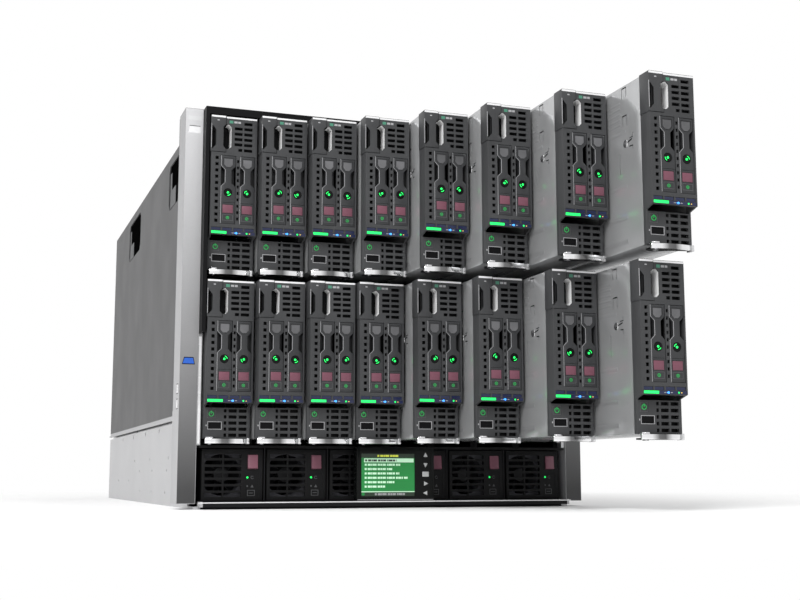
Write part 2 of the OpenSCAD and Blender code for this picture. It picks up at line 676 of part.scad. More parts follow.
// Fan housings with a round duct, a spoked guard at the back, the rotor's shaft and a pull handle
module fan_housing() {
    color("#2d2e31") {
        difference() {
            block([-fan_w / 2, 0, -fan_h / 2], [fan_w / 2, fan_d, fan_h / 2]);
            translate([0, -e, 0]) rotate([-90, 0, 0]) cylinder(h = fan_d + 2 * e, r = duct_r);
        }
        translate([0, fan_d - 4, 0]) rotate([-90, 0, 0]) difference() {
            union() {
                for (r = [16, 28]) difference() {
                    cylinder(h = 2.4, r = r);
                    translate([0, 0, -e]) cylinder(h = 2.4 + 2 * e, r = r - 2);
                }
                for (a = [45, 135]) rotate(a) translate([-duct_r - 1, -1.5, 0]) cube([2 * duct_r + 2, 3, 2.4]);
                cylinder(h = 2.4, r = 8);
            }
        }
        translate([0, fan_d - 3, 0]) rotate([90, 0, 0]) cylinder(h = 60, r = shaft_r);
    }
    color("#8f3448") side_slab(-fan_w / 2 + 3, 7) difference() {
        translate([fan_d - 1, -16]) cut_rect(33, 44, 6);
        translate([fan_d - 8, -9]) cut_rect(34, 30, 4);
    }
}

module fan_housings() {
    for (r = [0, 1]) for (k = [1:fans]) translate([fan_x(k), rear_y - fan_d, fan_z(r)]) fan_housing();
}

module rotor() {
    hub_l = 34;
    color("#4a4b4e") translate([0, fan_d - 4 - clear - 1 - hub_l, 0]) rotate([-90, 0, 0]) difference() {
        union() {
            cylinder(h = hub_l, r = 17);
            for (a = [0:rotor_blades - 1]) rotate(a * 360 / rotor_blades)
                translate([15, 0, hub_l / 2]) rotate([rotor_tilt, 0, 0]) translate([0, -12, -0.9]) cube([sqrt(rotor_r * rotor_r - 100) - 15, 24, 1.8]);
        }
        translate([0, 0, -e]) cylinder(h = hub_l + 2 * e, r = shaft_r + clear);
    }
}

module rotor_at(r, k) { translate([fan_x(k), rear_y - fan_d, fan_z(r)]) rotor(); }

module_t = 1.2;                                     // case wall of a rear module
switch_d = rear_y - cage_y - plenum;                // depth of an interconnect module
manager_d = 0.6 * switch_d;                         // depth of a management module

module interconnect(w, h, d, ports) {
    color("#6e7174") difference() {
        block([0, 0, 0], [w, d, h]);
        block([module_t, -e, module_t], [w - module_t, d - 6, h - module_t]);
        slab(d - 3.6, 3.6 + e) for (k = [0:ports - 1]) for (row = [0, 1])
            translate([22 + k * 15, h / 2 - 12 + row * 12.6]) square([12.6, 10]);
        slab(d - 2, 2 + e) translate([w - 26, 5]) square([16, h - 10]);
    }
    color("#8f3448") translate([4, d - 1, h / 2 - 8]) cube([6, 30, 16]);
}

module inlet() {
    color("#1b1c1e") difference() {
        block([-24, 0, -18], [24, 34, 18]);
        block([-13.5, 12, -9], [13.5, 34 + e, 9]);
    }
    color("silver") for (x = [-7, 0, 7]) block([x - 1, 11, -4], [x + 1, 26, 4]);
}

module rear_modules() {
    w = cage_in - cage_t / 2 - 2 * bay_clear;
    for (side = [0, 1]) {
        x = side * (cage_in + cage_t / 2) - cage_in + bay_clear;
        for (k = [0:switches - 1]) translate([x, rear_y - switch_d, switch_z + k * switch_pitch + bay_clear])
            interconnect(w, switch_bay_h - 2 * bay_clear, switch_d, k == switches - 1 ? 10 : 8);
        color("#55585b") translate([x, rear_y - manager_d, manager_z + bay_clear]) difference() {
            cube([w, manager_d, manager_bay_h - 2 * bay_clear]);
            block([module_t, -e, module_t], [w - module_t, manager_d - 6, manager_bay_h - 2 * bay_clear - module_t]);
            slab(manager_d - 3, 3 + e) for (k = [0:3]) translate([60 + k * 22, 7]) square([16, 13]);
        }
    }
    color("#3a3c3f") slab(rear_y - 2, 2) difference() {
        translate([-cage_in + bay_clear, base_t + cage_t + bay_clear]) square([2 * (cage_in - bay_clear), inlet_bay_h - 2 * bay_clear]);
        for (k = [1:supplies]) translate([psu_x(k) - 22, base_t + cage_t + inlet_bay_h / 2 - 16]) square([44, 32]);
    }
    for (k = [1:supplies]) translate([psu_x(k), rear_y - 36, base_t + cage_t + inlet_bay_h / 2]) inlet();
}

base_pan();
decks();
side_panels();
inner_walls();
top_cover();
midplane();
pillars();
front_trim();
rear_cage();
fan_housings();
rear_modules();
display();
for (k = [1:supplies]) psu_at(k);
for (c = [1:columns]) {
    blade_at(1, c);
    blade_at(0, c);
    lever_at(1, c);
    lever_at(0, c);
}
for (k = [1:fans]) {
    rotor_at(1, k);
    rotor_at(0, k);
}
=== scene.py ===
import logging
import math
from dataclasses import dataclass, field
from enum import Enum

import bmesh
import bpy
from mathutils import Euler, Matrix, Vector


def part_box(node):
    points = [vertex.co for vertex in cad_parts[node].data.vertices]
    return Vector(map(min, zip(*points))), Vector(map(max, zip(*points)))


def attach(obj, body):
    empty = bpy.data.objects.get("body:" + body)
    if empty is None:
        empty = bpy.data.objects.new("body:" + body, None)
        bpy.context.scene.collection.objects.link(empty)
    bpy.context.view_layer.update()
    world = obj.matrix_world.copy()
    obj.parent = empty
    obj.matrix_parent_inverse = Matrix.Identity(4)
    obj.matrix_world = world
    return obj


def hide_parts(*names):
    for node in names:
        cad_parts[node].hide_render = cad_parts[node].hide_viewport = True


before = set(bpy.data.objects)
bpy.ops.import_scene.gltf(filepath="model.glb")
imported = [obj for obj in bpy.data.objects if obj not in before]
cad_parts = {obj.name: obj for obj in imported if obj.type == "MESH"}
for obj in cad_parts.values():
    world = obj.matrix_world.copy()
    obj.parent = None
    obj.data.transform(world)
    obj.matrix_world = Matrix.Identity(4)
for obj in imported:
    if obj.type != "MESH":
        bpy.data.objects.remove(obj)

LOG = logging.getLogger("enclosure")
MM = 0.001
Point = tuple[float, float, float]
Flat = tuple[float, float]
Colour = tuple[float, float, float]
FIXED_SUPPLIES = (3, 4)
DISPLAY_FACE = 0.6


# ---------------------------------------------------------------- finishes

PATCHES_IN_A_METRE = 14.0
SPANGLES_IN_A_METRE = 95.0
SPANGLE_SHARE = 0.35
GLOSS_PLAY = 0.07
COAT_ROUGHNESS = 0.12
GRAIN_DEPTH = 0.1 * MM


class Grain(Enum):
    """How the surface of a finish is broken up."""

    MOULDED = "fine spark-eroded mould texture"
    SHEET = "zinc spangle with faint rolling streaks"
    BRUSHED = "long brush lines"
    LACQUER = "fine metallic flake"
    BOARD = "solder mask with traces"


@dataclass(frozen=True)
class HeightShade:
    """Painted shade: how much of a colour is left at two heights, with an even change between them."""

    low_mm: float
    high_mm: float
    at_low: float
    at_high: float


def find(tree: bpy.types.NodeTree, kind: str) -> bpy.types.Node:
    """Finds the first node of a kind.

    Args:
        tree: The node tree.
        kind: The node's type, or how it begins.

    Returns:
        The node.
    """
    return next(n for n in tree.nodes if n.type.startswith(kind))


def reckon(tree: bpy.types.NodeTree, operation: str, *values: bpy.types.NodeSocket | float,
           clamp: bool = False) -> bpy.types.NodeSocket:
    """Adds one Math node.

    Args:
        tree: The node tree.
        operation: What the node does with its values.
        *values: Sockets to link, or numbers to set.
        clamp: Whether the result stays between 0 and 1.

    Returns:
        The result.
    """
    node = tree.nodes.new("ShaderNodeMath")
    node.operation, node.use_clamp = operation, clamp
    for socket, value in zip(node.inputs, values):
        if isinstance(value, float):
            socket.default_value = value
        else:
            tree.links.new(value, socket)
    return node.outputs[0]


def along(tree: bpy.types.NodeTree, axis: str) -> bpy.types.NodeSocket:
    """Adds the object coordinate along one axis.

    Args:
        tree: The node tree.
        axis: X, Y or Z.

    Returns:
        The coordinate in metres.
    """
    split = tree.nodes.new("ShaderNodeSeparateXYZ")
    tree.links.new(tree.nodes.new("ShaderNodeTexCoord").outputs["Object"], split.inputs[0])
    return split.outputs[axis]


def blend(tree: bpy.types.NodeTree, share: bpy.types.NodeSocket, first: bpy.types.NodeSocket,
          second: bpy.types.NodeSocket) -> None:
    """Puts a mix of two shaders on the tree's output.

    Args:
        tree: The node tree.
        share: How much of the second shader shows.
        first: The first shader's output.
        second: The second shader's output.
    """
    mix = tree.nodes.new("ShaderNodeMixShader")
    for socket, source in zip(mix.inputs, (share, first, second)):
        tree.links.new(source, socket)
    tree.links.new(mix.outputs[0], find(tree, "OUTPUT").inputs["Surface"])


def seen_directly(tree: bpy.types.NodeTree) -> bpy.types.NodeSocket:
    """Tells rays that look at a surface from rays that only gather its light.

    Args:
        tree: The node tree.

    Returns:
        1 for camera, glossy and transmission rays, and 0 for the others.
    """
    path = tree.nodes.new("ShaderNodeLightPath")
    rays = [path.outputs[f"Is {name} Ray"] for name in ("Camera", "Glossy", "Transmission")]
    return reckon(tree, "ADD", reckon(tree, "ADD", rays[0], rays[1], clamp=True), rays[2], clamp=True)


@dataclass(frozen=True)
class Finish:
    """One surface finish and the recipe of its procedural material."""

    name: str
    colour: Colour
    roughness: float = 0.5
    metallic: float = 0.0
    grain: Grain = Grain.MOULDED
    size_mm: float = 0.6
    bump: float = 0.12
    spread: float = 0.10
    coat: float = 0.0
    glow: float = 0.0
    # painted shade: darkens the colour along the height, where a finish has it
    height_shade: HeightShade | None = None
    shine: float = 0.5

    def material(self) -> bpy.types.Material:
        """Builds the material once and returns it again on later calls.

        Returns:
            The node-based material of this finish.
        """
        known = bpy.data.materials.get(self.name)
        if known:
            return known
        made = bpy.data.materials.new(self.name)
        made.use_nodes = True
        tree = made.node_tree
        shader = find(tree, "BSDF_PRINCIPLED")
        shader.inputs["Metallic"].default_value = self.metallic
        shader.inputs["Specular IOR Level"].default_value = self.shine
        shader.inputs["Coat Weight"].default_value = self.coat
        shader.inputs["Coat Roughness"].default_value = COAT_ROUGHNESS
        made.diffuse_color = (*self.colour, 1.0)
        if self.glow > 0:
            shader.inputs["Emission Color"].default_value = (*self.colour, 1.0)
            shader.inputs["Emission Strength"].default_value = self.glow
        place = self._place(tree)
        fine = self._noise(tree, place, 1.0 / (self.size_mm * MM), 4.0)
        broad = self._noise(tree, place, PATCHES_IN_A_METRE, 3.0)
        self._tint(tree, shader, fine, broad)
        self._wear(tree, shader, fine, broad)
        return made

    def _place(self, tree: bpy.types.NodeTree) -> bpy.types.NodeSocket:
        """Adds the coordinates, stretched along the lines of a drawn finish.

        Args:
            tree: The material's node tree.

        Returns:
            The vector output that the textures read.
        """
        place = tree.nodes.new("ShaderNodeTexCoord").outputs["Object"]
        stretch = {Grain.BRUSHED: (0.04, 1.0, 1.0), Grain.SHEET: (1.0, 0.35, 1.0)}.get(self.grain)
        if stretch is None:
            return place
        mapping = tree.nodes.new("ShaderNodeMapping")
        mapping.inputs["Scale"].default_value = stretch
        tree.links.new(place, mapping.inputs["Vector"])
        return mapping.outputs["Vector"]

    @staticmethod
    def _noise(tree: bpy.types.NodeTree, place: bpy.types.NodeSocket, scale: float,
               detail: float) -> bpy.types.NodeSocket:
        """Adds one noise texture.

        Args:
            tree: The material's node tree.
            place: The vector that the noise reads.
            scale: Features in a metre.
            detail: Octaves of the noise.

        Returns:
            The factor output.
        """
        noise = tree.nodes.new("ShaderNodeTexNoise")
        noise.inputs["Scale"].default_value = scale
        noise.inputs["Detail"].default_value = detail
        tree.links.new(place, noise.inputs["Vector"])
        return noise.outputs["Fac"]

    def _tint(self, tree: bpy.types.NodeTree, shader: bpy.types.Node, fine: bpy.types.NodeSocket,
              broad: bpy.types.NodeSocket) -> None:
        """Varies the base colour a little about the finish's own.

        Args:
            tree: The material's node tree.
            shader: The Principled shader.
            fine: Fine noise.
            broad: Broad noise.
        """
        ramp = tree.nodes.new("ShaderNodeValToRGB")
        low = tuple(tone * (1 - self.spread) for tone in self.colour)
        high = tuple(min(1.0, tone * (1 + self.spread)) for tone in self.colour)
        ramp.color_ramp.elements[0].position = 0.3
        ramp.color_ramp.elements[0].color = (*low, 1)
        ramp.color_ramp.elements[1].position = 0.7
        ramp.color_ramp.elements[1].color = (*high, 1)
        source = broad
        if self.grain in (Grain.SHEET, Grain.LACQUER, Grain.BRUSHED):
            source = fine
        if self.grain is Grain.SHEET:
            cells = tree.nodes.new("ShaderNodeTexVoronoi")
            cells.inputs["Scale"].default_value = SPANGLES_IN_A_METRE
            tree.links.new(tree.nodes.new("ShaderNodeTexCoord").outputs["Object"], cells.inputs["Vector"])
            source = reckon(tree, "MULTIPLY_ADD", cells.outputs["Distance"], SPANGLE_SHARE, fine)
        tree.links.new(source, ramp.inputs["Fac"])
        tree.links.new(self._shade_by_height(tree, ramp.outputs["Color"]), shader.inputs["Base Color"])

    def _shade_by_height(self, tree: bpy.types.NodeTree, colour: bpy.types.NodeSocket) -> bpy.types.NodeSocket:
        """Paints shade by darkening the colour along the height, where the finish asks for it.

        Args:
            tree: The material's node tree.
            colour: The colour so far.

        Returns:
            The colour, darkened or as it was.
        """
        if self.height_shade is None:
            return colour
        level = tree.nodes.new("ShaderNodeMapRange")
        level.inputs["From Min"].default_value = self.height_shade.low_mm * MM
        level.inputs["From Max"].default_value = self.height_shade.high_mm * MM
        level.inputs["To Min"].default_value = self.height_shade.at_low
        level.inputs["To Max"].default_value = self.height_shade.at_high
        tree.links.new(along(tree, "Z"), level.inputs["Value"])
        mix = tree.nodes.new("ShaderNodeMix")
        mix.data_type, mix.blend_type = "RGBA", "MULTIPLY"
        mix.inputs["Factor"].default_value = 1.0
        tree.links.new(colour, mix.inputs["A"])
        tree.links.new(level.outputs["Result"], mix.inputs["B"])
        return mix.outputs["Result"]

    def _wear(self, tree: bpy.types.NodeTree, shader: bpy.types.Node, fine: bpy.types.NodeSocket,
              broad: bpy.types.NodeSocket) -> None:
        """Varies the gloss and raises the grain.

        Args:
            tree: The material's node tree.
            shader: The Principled shader.
            fine: Fine noise.
            broad: Broad noise.
        """
        gloss = tree.nodes.new("ShaderNodeMapRange")
        gloss.inputs["To Min"].default_value = max(0.04, self.roughness - GLOSS_PLAY)
        gloss.inputs["To Max"].default_value = min(1.0, self.roughness + GLOSS_PLAY)
        tree.links.new(broad, gloss.inputs["Value"])
        tree.links.new(gloss.outputs["Result"], shader.inputs["Roughness"])
        bump = tree.nodes.new("ShaderNodeBump")
        bump.inputs["Strength"].default_value = self.bump
        bump.inputs["Distance"].default_value = GRAIN_DEPTH
        tree.links.new(fine, bump.inputs["Height"])
        tree.links.new(bump.outputs["Normal"], shader.inputs["Normal"])


@dataclass(frozen=True)
class TwoZones:
    """Two finishes on one CAD node, one beyond a distance from its middle plane and one within it."""

    name: str
    upper: Finish
    lower: Finish
    border_mm: float
    axis: str = "Z"

    def material(self) -> bpy.types.Material:
        """Builds the material once and returns it again on later calls.

        Returns:
            The material that changes at the border.
        """
        known = bpy.data.materials.get(self.name)
        if known:
            return known
        made = self.upper.material().copy()
        made.name = self.name
        tree = made.node_tree
        shader = find(tree, "BSDF_PRINCIPLED")
        second = tree.nodes.new("ShaderNodeBsdfPrincipled")
        for source, target in zip(shader.inputs, second.inputs):
            if source.is_linked and source.name != "Base Color":
                tree.links.new(source.links[0].from_socket, target)
        second.inputs["Base Color"].default_value = (*self.lower.colour, 1.0)
        second.inputs["Metallic"].default_value = self.lower.metallic
        second.inputs["Specular IOR Level"].default_value = self.lower.shine
        distance = reckon(tree, "ABSOLUTE", along(tree, self.axis))
        beyond = reckon(tree, "GREATER_THAN", distance, self.border_mm * MM)
        blend(tree, beyond, second.outputs[0], shader.outputs[0])
        return made


@dataclass(frozen=True)
class ReflectionGradient:
    """A polished finish with a painted reflection: bright and dark tones along a piece, read from the piece's
    own UV map.
    """

    name: str
    reflection_stops: tuple[tuple[float, float], ...]
    roughness: float = 0.14
    layer: str = "along"

    def material(self) -> bpy.types.Material:
        """Builds the material once and returns it again on later calls.

        Returns:
            The polished material with its painted reflection.
        """
        known = bpy.data.materials.get(self.name)
        if known:
            return known
        metal = Finish(self.name, (0.8, 0.8, 0.81), self.roughness, 1.0, Grain.BRUSHED, 0.35, 0.04, 0.04)
        made = metal.material()
        tree = made.node_tree
        shader = find(tree, "BSDF_PRINCIPLED")
        for link in list(shader.inputs["Base Color"].links):
            tree.links.remove(link)
        place = tree.nodes.new("ShaderNodeUVMap")
        place.uv_map = self.layer
        split = tree.nodes.new("ShaderNodeSeparateXYZ")
        ramp = tree.nodes.new("ShaderNodeValToRGB")
        tones = ramp.color_ramp.elements
        for k, (where, tone) in enumerate(self.reflection_stops):
            stop = tones[k] if k < 2 else tones.new(where)
            stop.position, stop.color = where, (tone, tone, tone * 1.01, 1.0)
        tree.links.new(place.outputs["UV"], split.inputs[0])
        tree.links.new(split.outputs["X"], ramp.inputs["Fac"])
        tree.links.new(ramp.outputs["Color"], shader.inputs["Base Color"])
        return made

    def unroll(self, shape: bpy.types.Mesh, low: float, high: float) -> None:
        """Lays a UV map along x over a mesh.

        Args:
            shape: The mesh.
            low: The x in millimetres where the map begins.
            high: The x in millimetres where it ends.
        """
        layer = shape.uv_layers.new(name=self.layer)
        for loop in shape.loops:
            x = shape.vertices[loop.vertex_index].co.x / MM
            layer.data[loop.index].uv = ((x - low) / (high - low), 0.5)


COVER = Finish("cover_plastic", (0.047, 0.048, 0.050), 0.42, size_mm=0.45, bump=0.25, spread=0.14,
               shine=0.22)
CARRIER = Finish("carrier_plastic", (0.034, 0.035, 0.037), 0.38, size_mm=0.4, bump=0.2, spread=0.12,
                 shine=0.25)
# painted shade, set inside the lift slots
PAINTED_SHADE = Finish("deep_shade", (0.002, 0.002, 0.002), 0.95, bump=0.0, shine=0.0)
# black parts, and also the painted shade behind the blades' openings and in the grip's tub
BLACK_AND_SHADE = Finish("black_plastic_and_painted_shade", (0.003, 0.003, 0.0035), 0.5, bump=0.15, shine=0.1)
TRIM = Finish("trim_plastic", (0.005, 0.005, 0.0055), 0.45, bump=0.15, shine=0.1)
ZINC = Finish("zinc_sheet", (0.43, 0.435, 0.44), 0.20, 0.55, Grain.MOULDED, 2.0, 0.0, 0.06)
ZINC_BRIGHT = Finish("bright_zinc_sheet", (0.55, 0.555, 0.56), 0.28, 0.55, Grain.SHEET, 9.0, 0.10, 0.08)
SKIN = Finish("grey_sheet_paint", (0.062, 0.062, 0.064), 0.45, 0.0, Grain.LACQUER, 0.5, 0.12, 0.10,
              shine=0.18)
WALL = Finish("lower_wall", (0.43, 0.43, 0.44), 0.34, 0.3, Grain.LACQUER, 0.5, 0.08, 0.06)
SIDES = TwoZones("side_panels", SKIN, WALL, 107.0)
# painted shade on both pillar finishes: the side grows darker towards the top, the front much darker towards
# the bottom
PILLAR = Finish("pillar_side", (0.40, 0.40, 0.41), 0.38, 0.1, Grain.LACQUER, 0.4, 0.10, 0.05,
                height_shade=HeightShade(20, 440, 1.0, 0.74), shine=0.25)
PILLAR_FRONT = Finish("pillar_front", (0.56, 0.56, 0.57), 0.36, 0.1, Grain.LACQUER, 0.4, 0.10, 0.05,
                      height_shade=HeightShade(20, 440, 0.10, 1.0), shine=0.3)
# also gives the painted highlight along the blades' top edges
EDGE = Finish("bright_edge", (0.80, 0.80, 0.81), 0.28, 0.4, Grain.BRUSHED, 0.3, 0.08, 0.06)
STEEL = Finish("turned_steel", (0.66, 0.66, 0.67), 0.22, 1.0, Grain.BRUSHED, 0.3, 0.08, 0.08)
TUB = Finish("grip_tub", (0.93, 0.93, 0.93), 0.5, 0.0, Grain.LACQUER, 0.5, 0.05, 0.03)
BOARD = Finish("board_mask", (0.015, 0.085, 0.035), 0.4, 0.0, Grain.BOARD, 1.5, 0.3, 0.3, coat=0.3)
GREEN_PALE = Finish("printed_green", (0.05, 0.20, 0.13), 0.45, bump=0.05, spread=0.05)
PAD = Finish("embossed_pad", (0.11, 0.11, 0.115), 0.36, size_mm=1.4, bump=0.6, spread=0.45, shine=0.3)
PSU = Finish("supply_black", (0.0085, 0.0085, 0.009), 0.45, size_mm=0.5, bump=0.2, shine=0.1)
DARK_PAN = Finish("blackened_sheet", (0.008, 0.008, 0.009), 0.45, 0.0, Grain.LACQUER, 0.5, 0.1, 0.1,
                  shine=0.12)
PAN = TwoZones("base_pan", WALL, DARK_PAN, 216.0, "X")
# painted reflection: the lever bar is pale at both ends and dark in the middle, standing in for what the
# polished metal reflects
BAR_REFLECTION = ReflectionGradient("polished_bar_painted_reflection", ((0.0, 0.86), (1.0, 0.86), (0.24, 0.80), (0.42, 0.17), (0.58, 0.13),
               (0.76, 0.74)))
# pale tone painted as highlight on the carriers' left rims and the grip's left edge; real metal on the port
# frame
RIM = Finish("carrier_rim", (0.36, 0.36, 0.37), 0.3, 0.3, bump=0.05, spread=0.08)
LINE = Finish("faint_line", (0.085, 0.087, 0.090), 0.5, bump=0.05, spread=0.08, shine=0.2)
FAN_PALE = Finish("fan_vanes", (0.016, 0.016, 0.018), 0.4, size_mm=0.5, bump=0.1, shine=0.2)
PINK = Finish("touch_point", (0.155, 0.058, 0.082), 0.45, bump=0.15, spread=0.06, shine=0.3)
LATCH = Finish("latch_plastic", (0.185, 0.072, 0.10), 0.38, bump=0.15, spread=0.06, shine=0.4)
MARK = Finish("printed_mark", (0.34, 0.34, 0.35), 0.5, bump=0.05, spread=0.05)
KEY = Finish("key_rubber", (0.56, 0.565, 0.57), 0.5, bump=0.15, shine=0.3)
GREEN = Finish("green_light", (0.01, 0.80, 0.12), 0.4, glow=1.0, bump=0.02, spread=0.03)
GREEN_DIM = Finish("green_icon", (0.015, 0.28, 0.06), 0.4, glow=0.35, bump=0.02, spread=0.03)
BLUE = Finish("blue_light", (0.05, 0.30, 1.0), 0.4, glow=1.6, bump=0.02, spread=0.03)
BLUE_DEEP = Finish("blue_lens", (0.012, 0.085, 0.42), 0.25, glow=0.2, bump=0.02, spread=0.05)
AMBER = Finish("amber_light", (0.9, 0.55, 0.1), 0.4, glow=0.8, bump=0.02, spread=0.03)
SMOKE = Finish("smoked_strip", (0.006, 0.009, 0.034), 0.25, glow=0.6, bump=0.03, coat=0.3, shine=0.3)
SCREEN = Finish("screen_green", (0.018, 0.215, 0.050), 0.25, glow=0.24, bump=0.02, spread=0.10,
                coat=0.15, shine=0.2)
SCREEN_PALE = Finish("screen_pale", (0.50, 0.76, 0.55), 0.3, glow=0.30, bump=0.02, spread=0.04)
SCREEN_DARK = Finish("screen_dark", (0.010, 0.030, 0.012), 0.3, bump=0.02)
SCREEN_GOLD = Finish("screen_gold", (0.55, 0.60, 0.05), 0.3, glow=0.4, bump=0.02, spread=0.04)
GLOSS = Finish("gloss_black", (0.0045, 0.005, 0.0048), 0.22, bump=0.03, coat=0.0, shine=0.12)
FAN = Finish("fan_plastic", (0.016, 0.016, 0.018), 0.42, size_mm=0.5, bump=0.2, shine=0.2)


# ---------------------------------------------------------------- shaping

class Plane(Enum):
    """The plane of a flat outline, and the axis along which it is drawn out."""

    XY = 2
    XZ = 1
    YZ = 0

    def lift(self, point: Flat, along: float) -> Vector:
        """Places a point of the outline in space.

        Args:
            point: The outline's two coordinates, in millimetres.
            along: The coordinate across the plane.

        Returns:
            The point in space.
        """
        first, second = point
        return {Plane.XY: Vector((first, second, along)), Plane.XZ: Vector((first, along, second)),
                Plane.YZ: Vector((along, first, second))}[self]

    def axis(self) -> Vector:
        """Gives the direction across the plane.

        Returns:
            The unit vector.
        """
        return Vector([1.0 if k == self.value else 0.0 for k in range(3)])


class Solid:
    """A closed shape in millimetres, made with the mesh operators."""

    def __init__(self) -> None:
        """Starts an empty shape."""
        self.bm = bmesh.new()

    def block(self, low: Point, high: Point) -> "Solid":
        """Adds a box between two corners.

        Args:
            low: Lowest corner.
            high: Highest corner.

        Returns:
            The shape itself.
        """
        low, high = Vector(low), Vector(high)
        made = bmesh.ops.create_cube(self.bm, size=1.0)["verts"]
        bmesh.ops.scale(self.bm, vec=high - low, verts=made)
        bmesh.ops.translate(self.bm, vec=(low + high) / 2, verts=made)
        return self

    def prism(self, outline: list[Flat], plane: Plane, low: float, high: float) -> "Solid":
        """Draws a flat outline out along the axis across its plane.

        Args:
            outline: Corner points in order.
            plane: The outline's plane.
            low: Where the prism begins.
            high: Where it ends.

        Returns:
            The shape itself.
        """
        ring = [self.bm.verts.new(plane.lift(p, low)) for p in outline]
        face = self.bm.faces.new(ring)
        grown = bmesh.ops.extrude_face_region(self.bm, geom=[face])["geom"]
        moved = [g for g in grown if isinstance(g, bmesh.types.BMVert)]
        bmesh.ops.translate(self.bm, vec=plane.axis() * (high - low), verts=moved)
        bmesh.ops.recalc_face_normals(self.bm, faces=self.bm.faces[:])
        return self

    def rod(self, centre: Point, plane: Plane, radius: float, length: float, tip: float | None = None,
            segments: int = 28) -> "Solid":
        """Adds a cylinder or cone that grows from its centre point across a plane.

        Args:
            centre: Middle of the lower end.
            plane: The plane that the ends lie in.
            radius: Radius at the lower end.
            length: Length, negative to grow the other way.
            tip: Radius at the far end, the same where it is None.
            segments: Sides of the circle.

        Returns:
            The shape itself.
        """
        made = bmesh.ops.create_cone(self.bm, cap_ends=True, segments=segments, radius1=radius,
                                     radius2=radius if tip is None else tip, depth=abs(length))["verts"]
        axis = plane.axis() * (1 if length > 0 else -1)
        turn = Vector((0, 0, 1)).rotation_difference(axis).to_matrix()
        bmesh.ops.rotate(self.bm, cent=(0, 0, 0), matrix=turn, verts=made)
        bmesh.ops.translate(self.bm, vec=Vector(centre) + axis * abs(length) / 2, verts=made)
        return self

    def hoop(self, centre: Point, plane: Plane, radius: float, width: float, depth: float,
             start: float = 0.0, sweep: float = 360.0, steps: int = 32) -> "Solid":
        """Spins a small rectangle about an axis into a ring or an arc.

        Args:
            centre: Middle of the ring.
            plane: The ring's plane.
            radius: Middle radius.
            width: Radial width.
            depth: Height across the plane.
            start: First angle in degrees.
            sweep: Angle of the arc in degrees.
            steps: Steps of the spin.

        Returns:
            The shape itself.
        """
        axis = plane.axis()
        side = {Plane.XY: Vector((1, 0, 0)), Plane.XZ: Vector((1, 0, 0)), Plane.YZ: Vector((0, 1, 0))}[plane]
        side = Matrix.Rotation(math.radians(start), 3, axis) @ side
        middle = Vector(centre)
        corners = [middle + side * (radius + a * width / 2) + axis * b * depth / 2
                   for a, b in ((-1, -1), (1, -1), (1, 1), (-1, 1))]
        verts = [self.bm.verts.new(c) for c in corners]
        face = self.bm.faces.new(verts)
        full = abs(sweep) >= 360.0
        geometry = [*verts, *face.edges] if full else [*verts, *face.edges, face]
        if full:
            self.bm.faces.remove(face)
        bmesh.ops.spin(self.bm, geom=geometry, cent=middle, axis=axis, angle=math.radians(sweep),
                       steps=steps, use_merge=full)
        bmesh.ops.recalc_face_normals(self.bm, faces=self.bm.faces[:])
        return self

    def soften(self, width: float, segments: int = 2, angle: float = 30.0) -> "Solid":
        """Rounds every edge that turns by more than an angle.

        Args:
            width: Width of the rounding.
            segments: Facets across it.
            angle: Least turn in degrees.

        Returns:
            The shape itself.
        """
        sharp = [e for e in self.bm.edges
                 if len(e.link_faces) == 2 and e.calc_face_angle(0.0) > math.radians(angle)]
        bmesh.ops.bevel(self.bm, geom=sharp, offset=width, offset_type="OFFSET", affect="EDGES",
                        segments=segments, profile=0.5, material=-1, clamp_overlap=True)
        return self

    def join(self, other: "Solid") -> "Solid":
        """Takes in another shape's faces.

        Args:
            other: The shape to take in, which is used up.

        Returns:
            The shape itself.
        """
        loose = bpy.data.meshes.new("loose")
        other.bm.to_mesh(loose)
        self.bm.from_mesh(loose)
        bpy.data.meshes.remove(loose)
        other.bm.free()
        return self

    def turned(self, centre: Point, plane: Plane, degrees: float) -> "Solid":
        """Turns the whole shape about an axis across a plane.

        Args:
            centre: A point on the axis.
            plane: The plane that the axis stands on.
            degrees: Angle of the turn.

        Returns:
            The shape itself.
        """
        turn = Matrix.Rotation(math.radians(degrees), 3, plane.axis())
        bmesh.ops.rotate(self.bm, cent=Vector(centre), matrix=turn, verts=self.bm.verts[:])
        return self

    def moved(self, by: Point) -> "Solid":
        """Moves the whole shape.

        Args:
            by: The step in millimetres.

        Returns:
            The shape itself.
        """
        bmesh.ops.translate(self.bm, vec=Vector(by), verts=self.bm.verts[:])
        return self

    def carve(self, tool: "Solid") -> "Solid":
        """Cuts another shape away from this one.

        Args:
            tool: The shape to cut away, which is used up.

        Returns:
            The shape itself.
        """
        pair = (("body", self), ("cutter", tool))
        body, cutter = (bpy.data.objects.new(name, shape.mesh(name, 1.0)) for name, shape in pair)
        for part in (body, cutter):
            bpy.context.scene.collection.objects.link(part)
        cut = body.modifiers.new("cut", "BOOLEAN")
        cut.operation, cut.solver, cut.object = "DIFFERENCE", "EXACT", cutter
        shaped = body.evaluated_get(bpy.context.evaluated_depsgraph_get())
        result = bpy.data.meshes.new_from_object(shaped)
        self.bm.clear()
        self.bm.from_mesh(result)
        for part in (body, cutter):
            old = part.data
            bpy.data.objects.remove(part)
            bpy.data.meshes.remove(old)
        bpy.data.meshes.remove(result)
        tool.bm.free()
        return self

    def mesh(self, name: str, scale: float = MM) -> bpy.types.Mesh:
        """Writes the shape to a mesh.

        Args:
            name: The mesh's name.
            scale: Metres for each unit.

        Returns:
            The mesh, with flat faces kept apart from round ones.
        """
        made = bpy.data.meshes.new(name)
        self.bm.to_mesh(made)
        made.transform(Matrix.Scale(scale, 4))
        made.shade_smooth()
        made.set_sharp_from_angle(angle=math.radians(32))
        return made


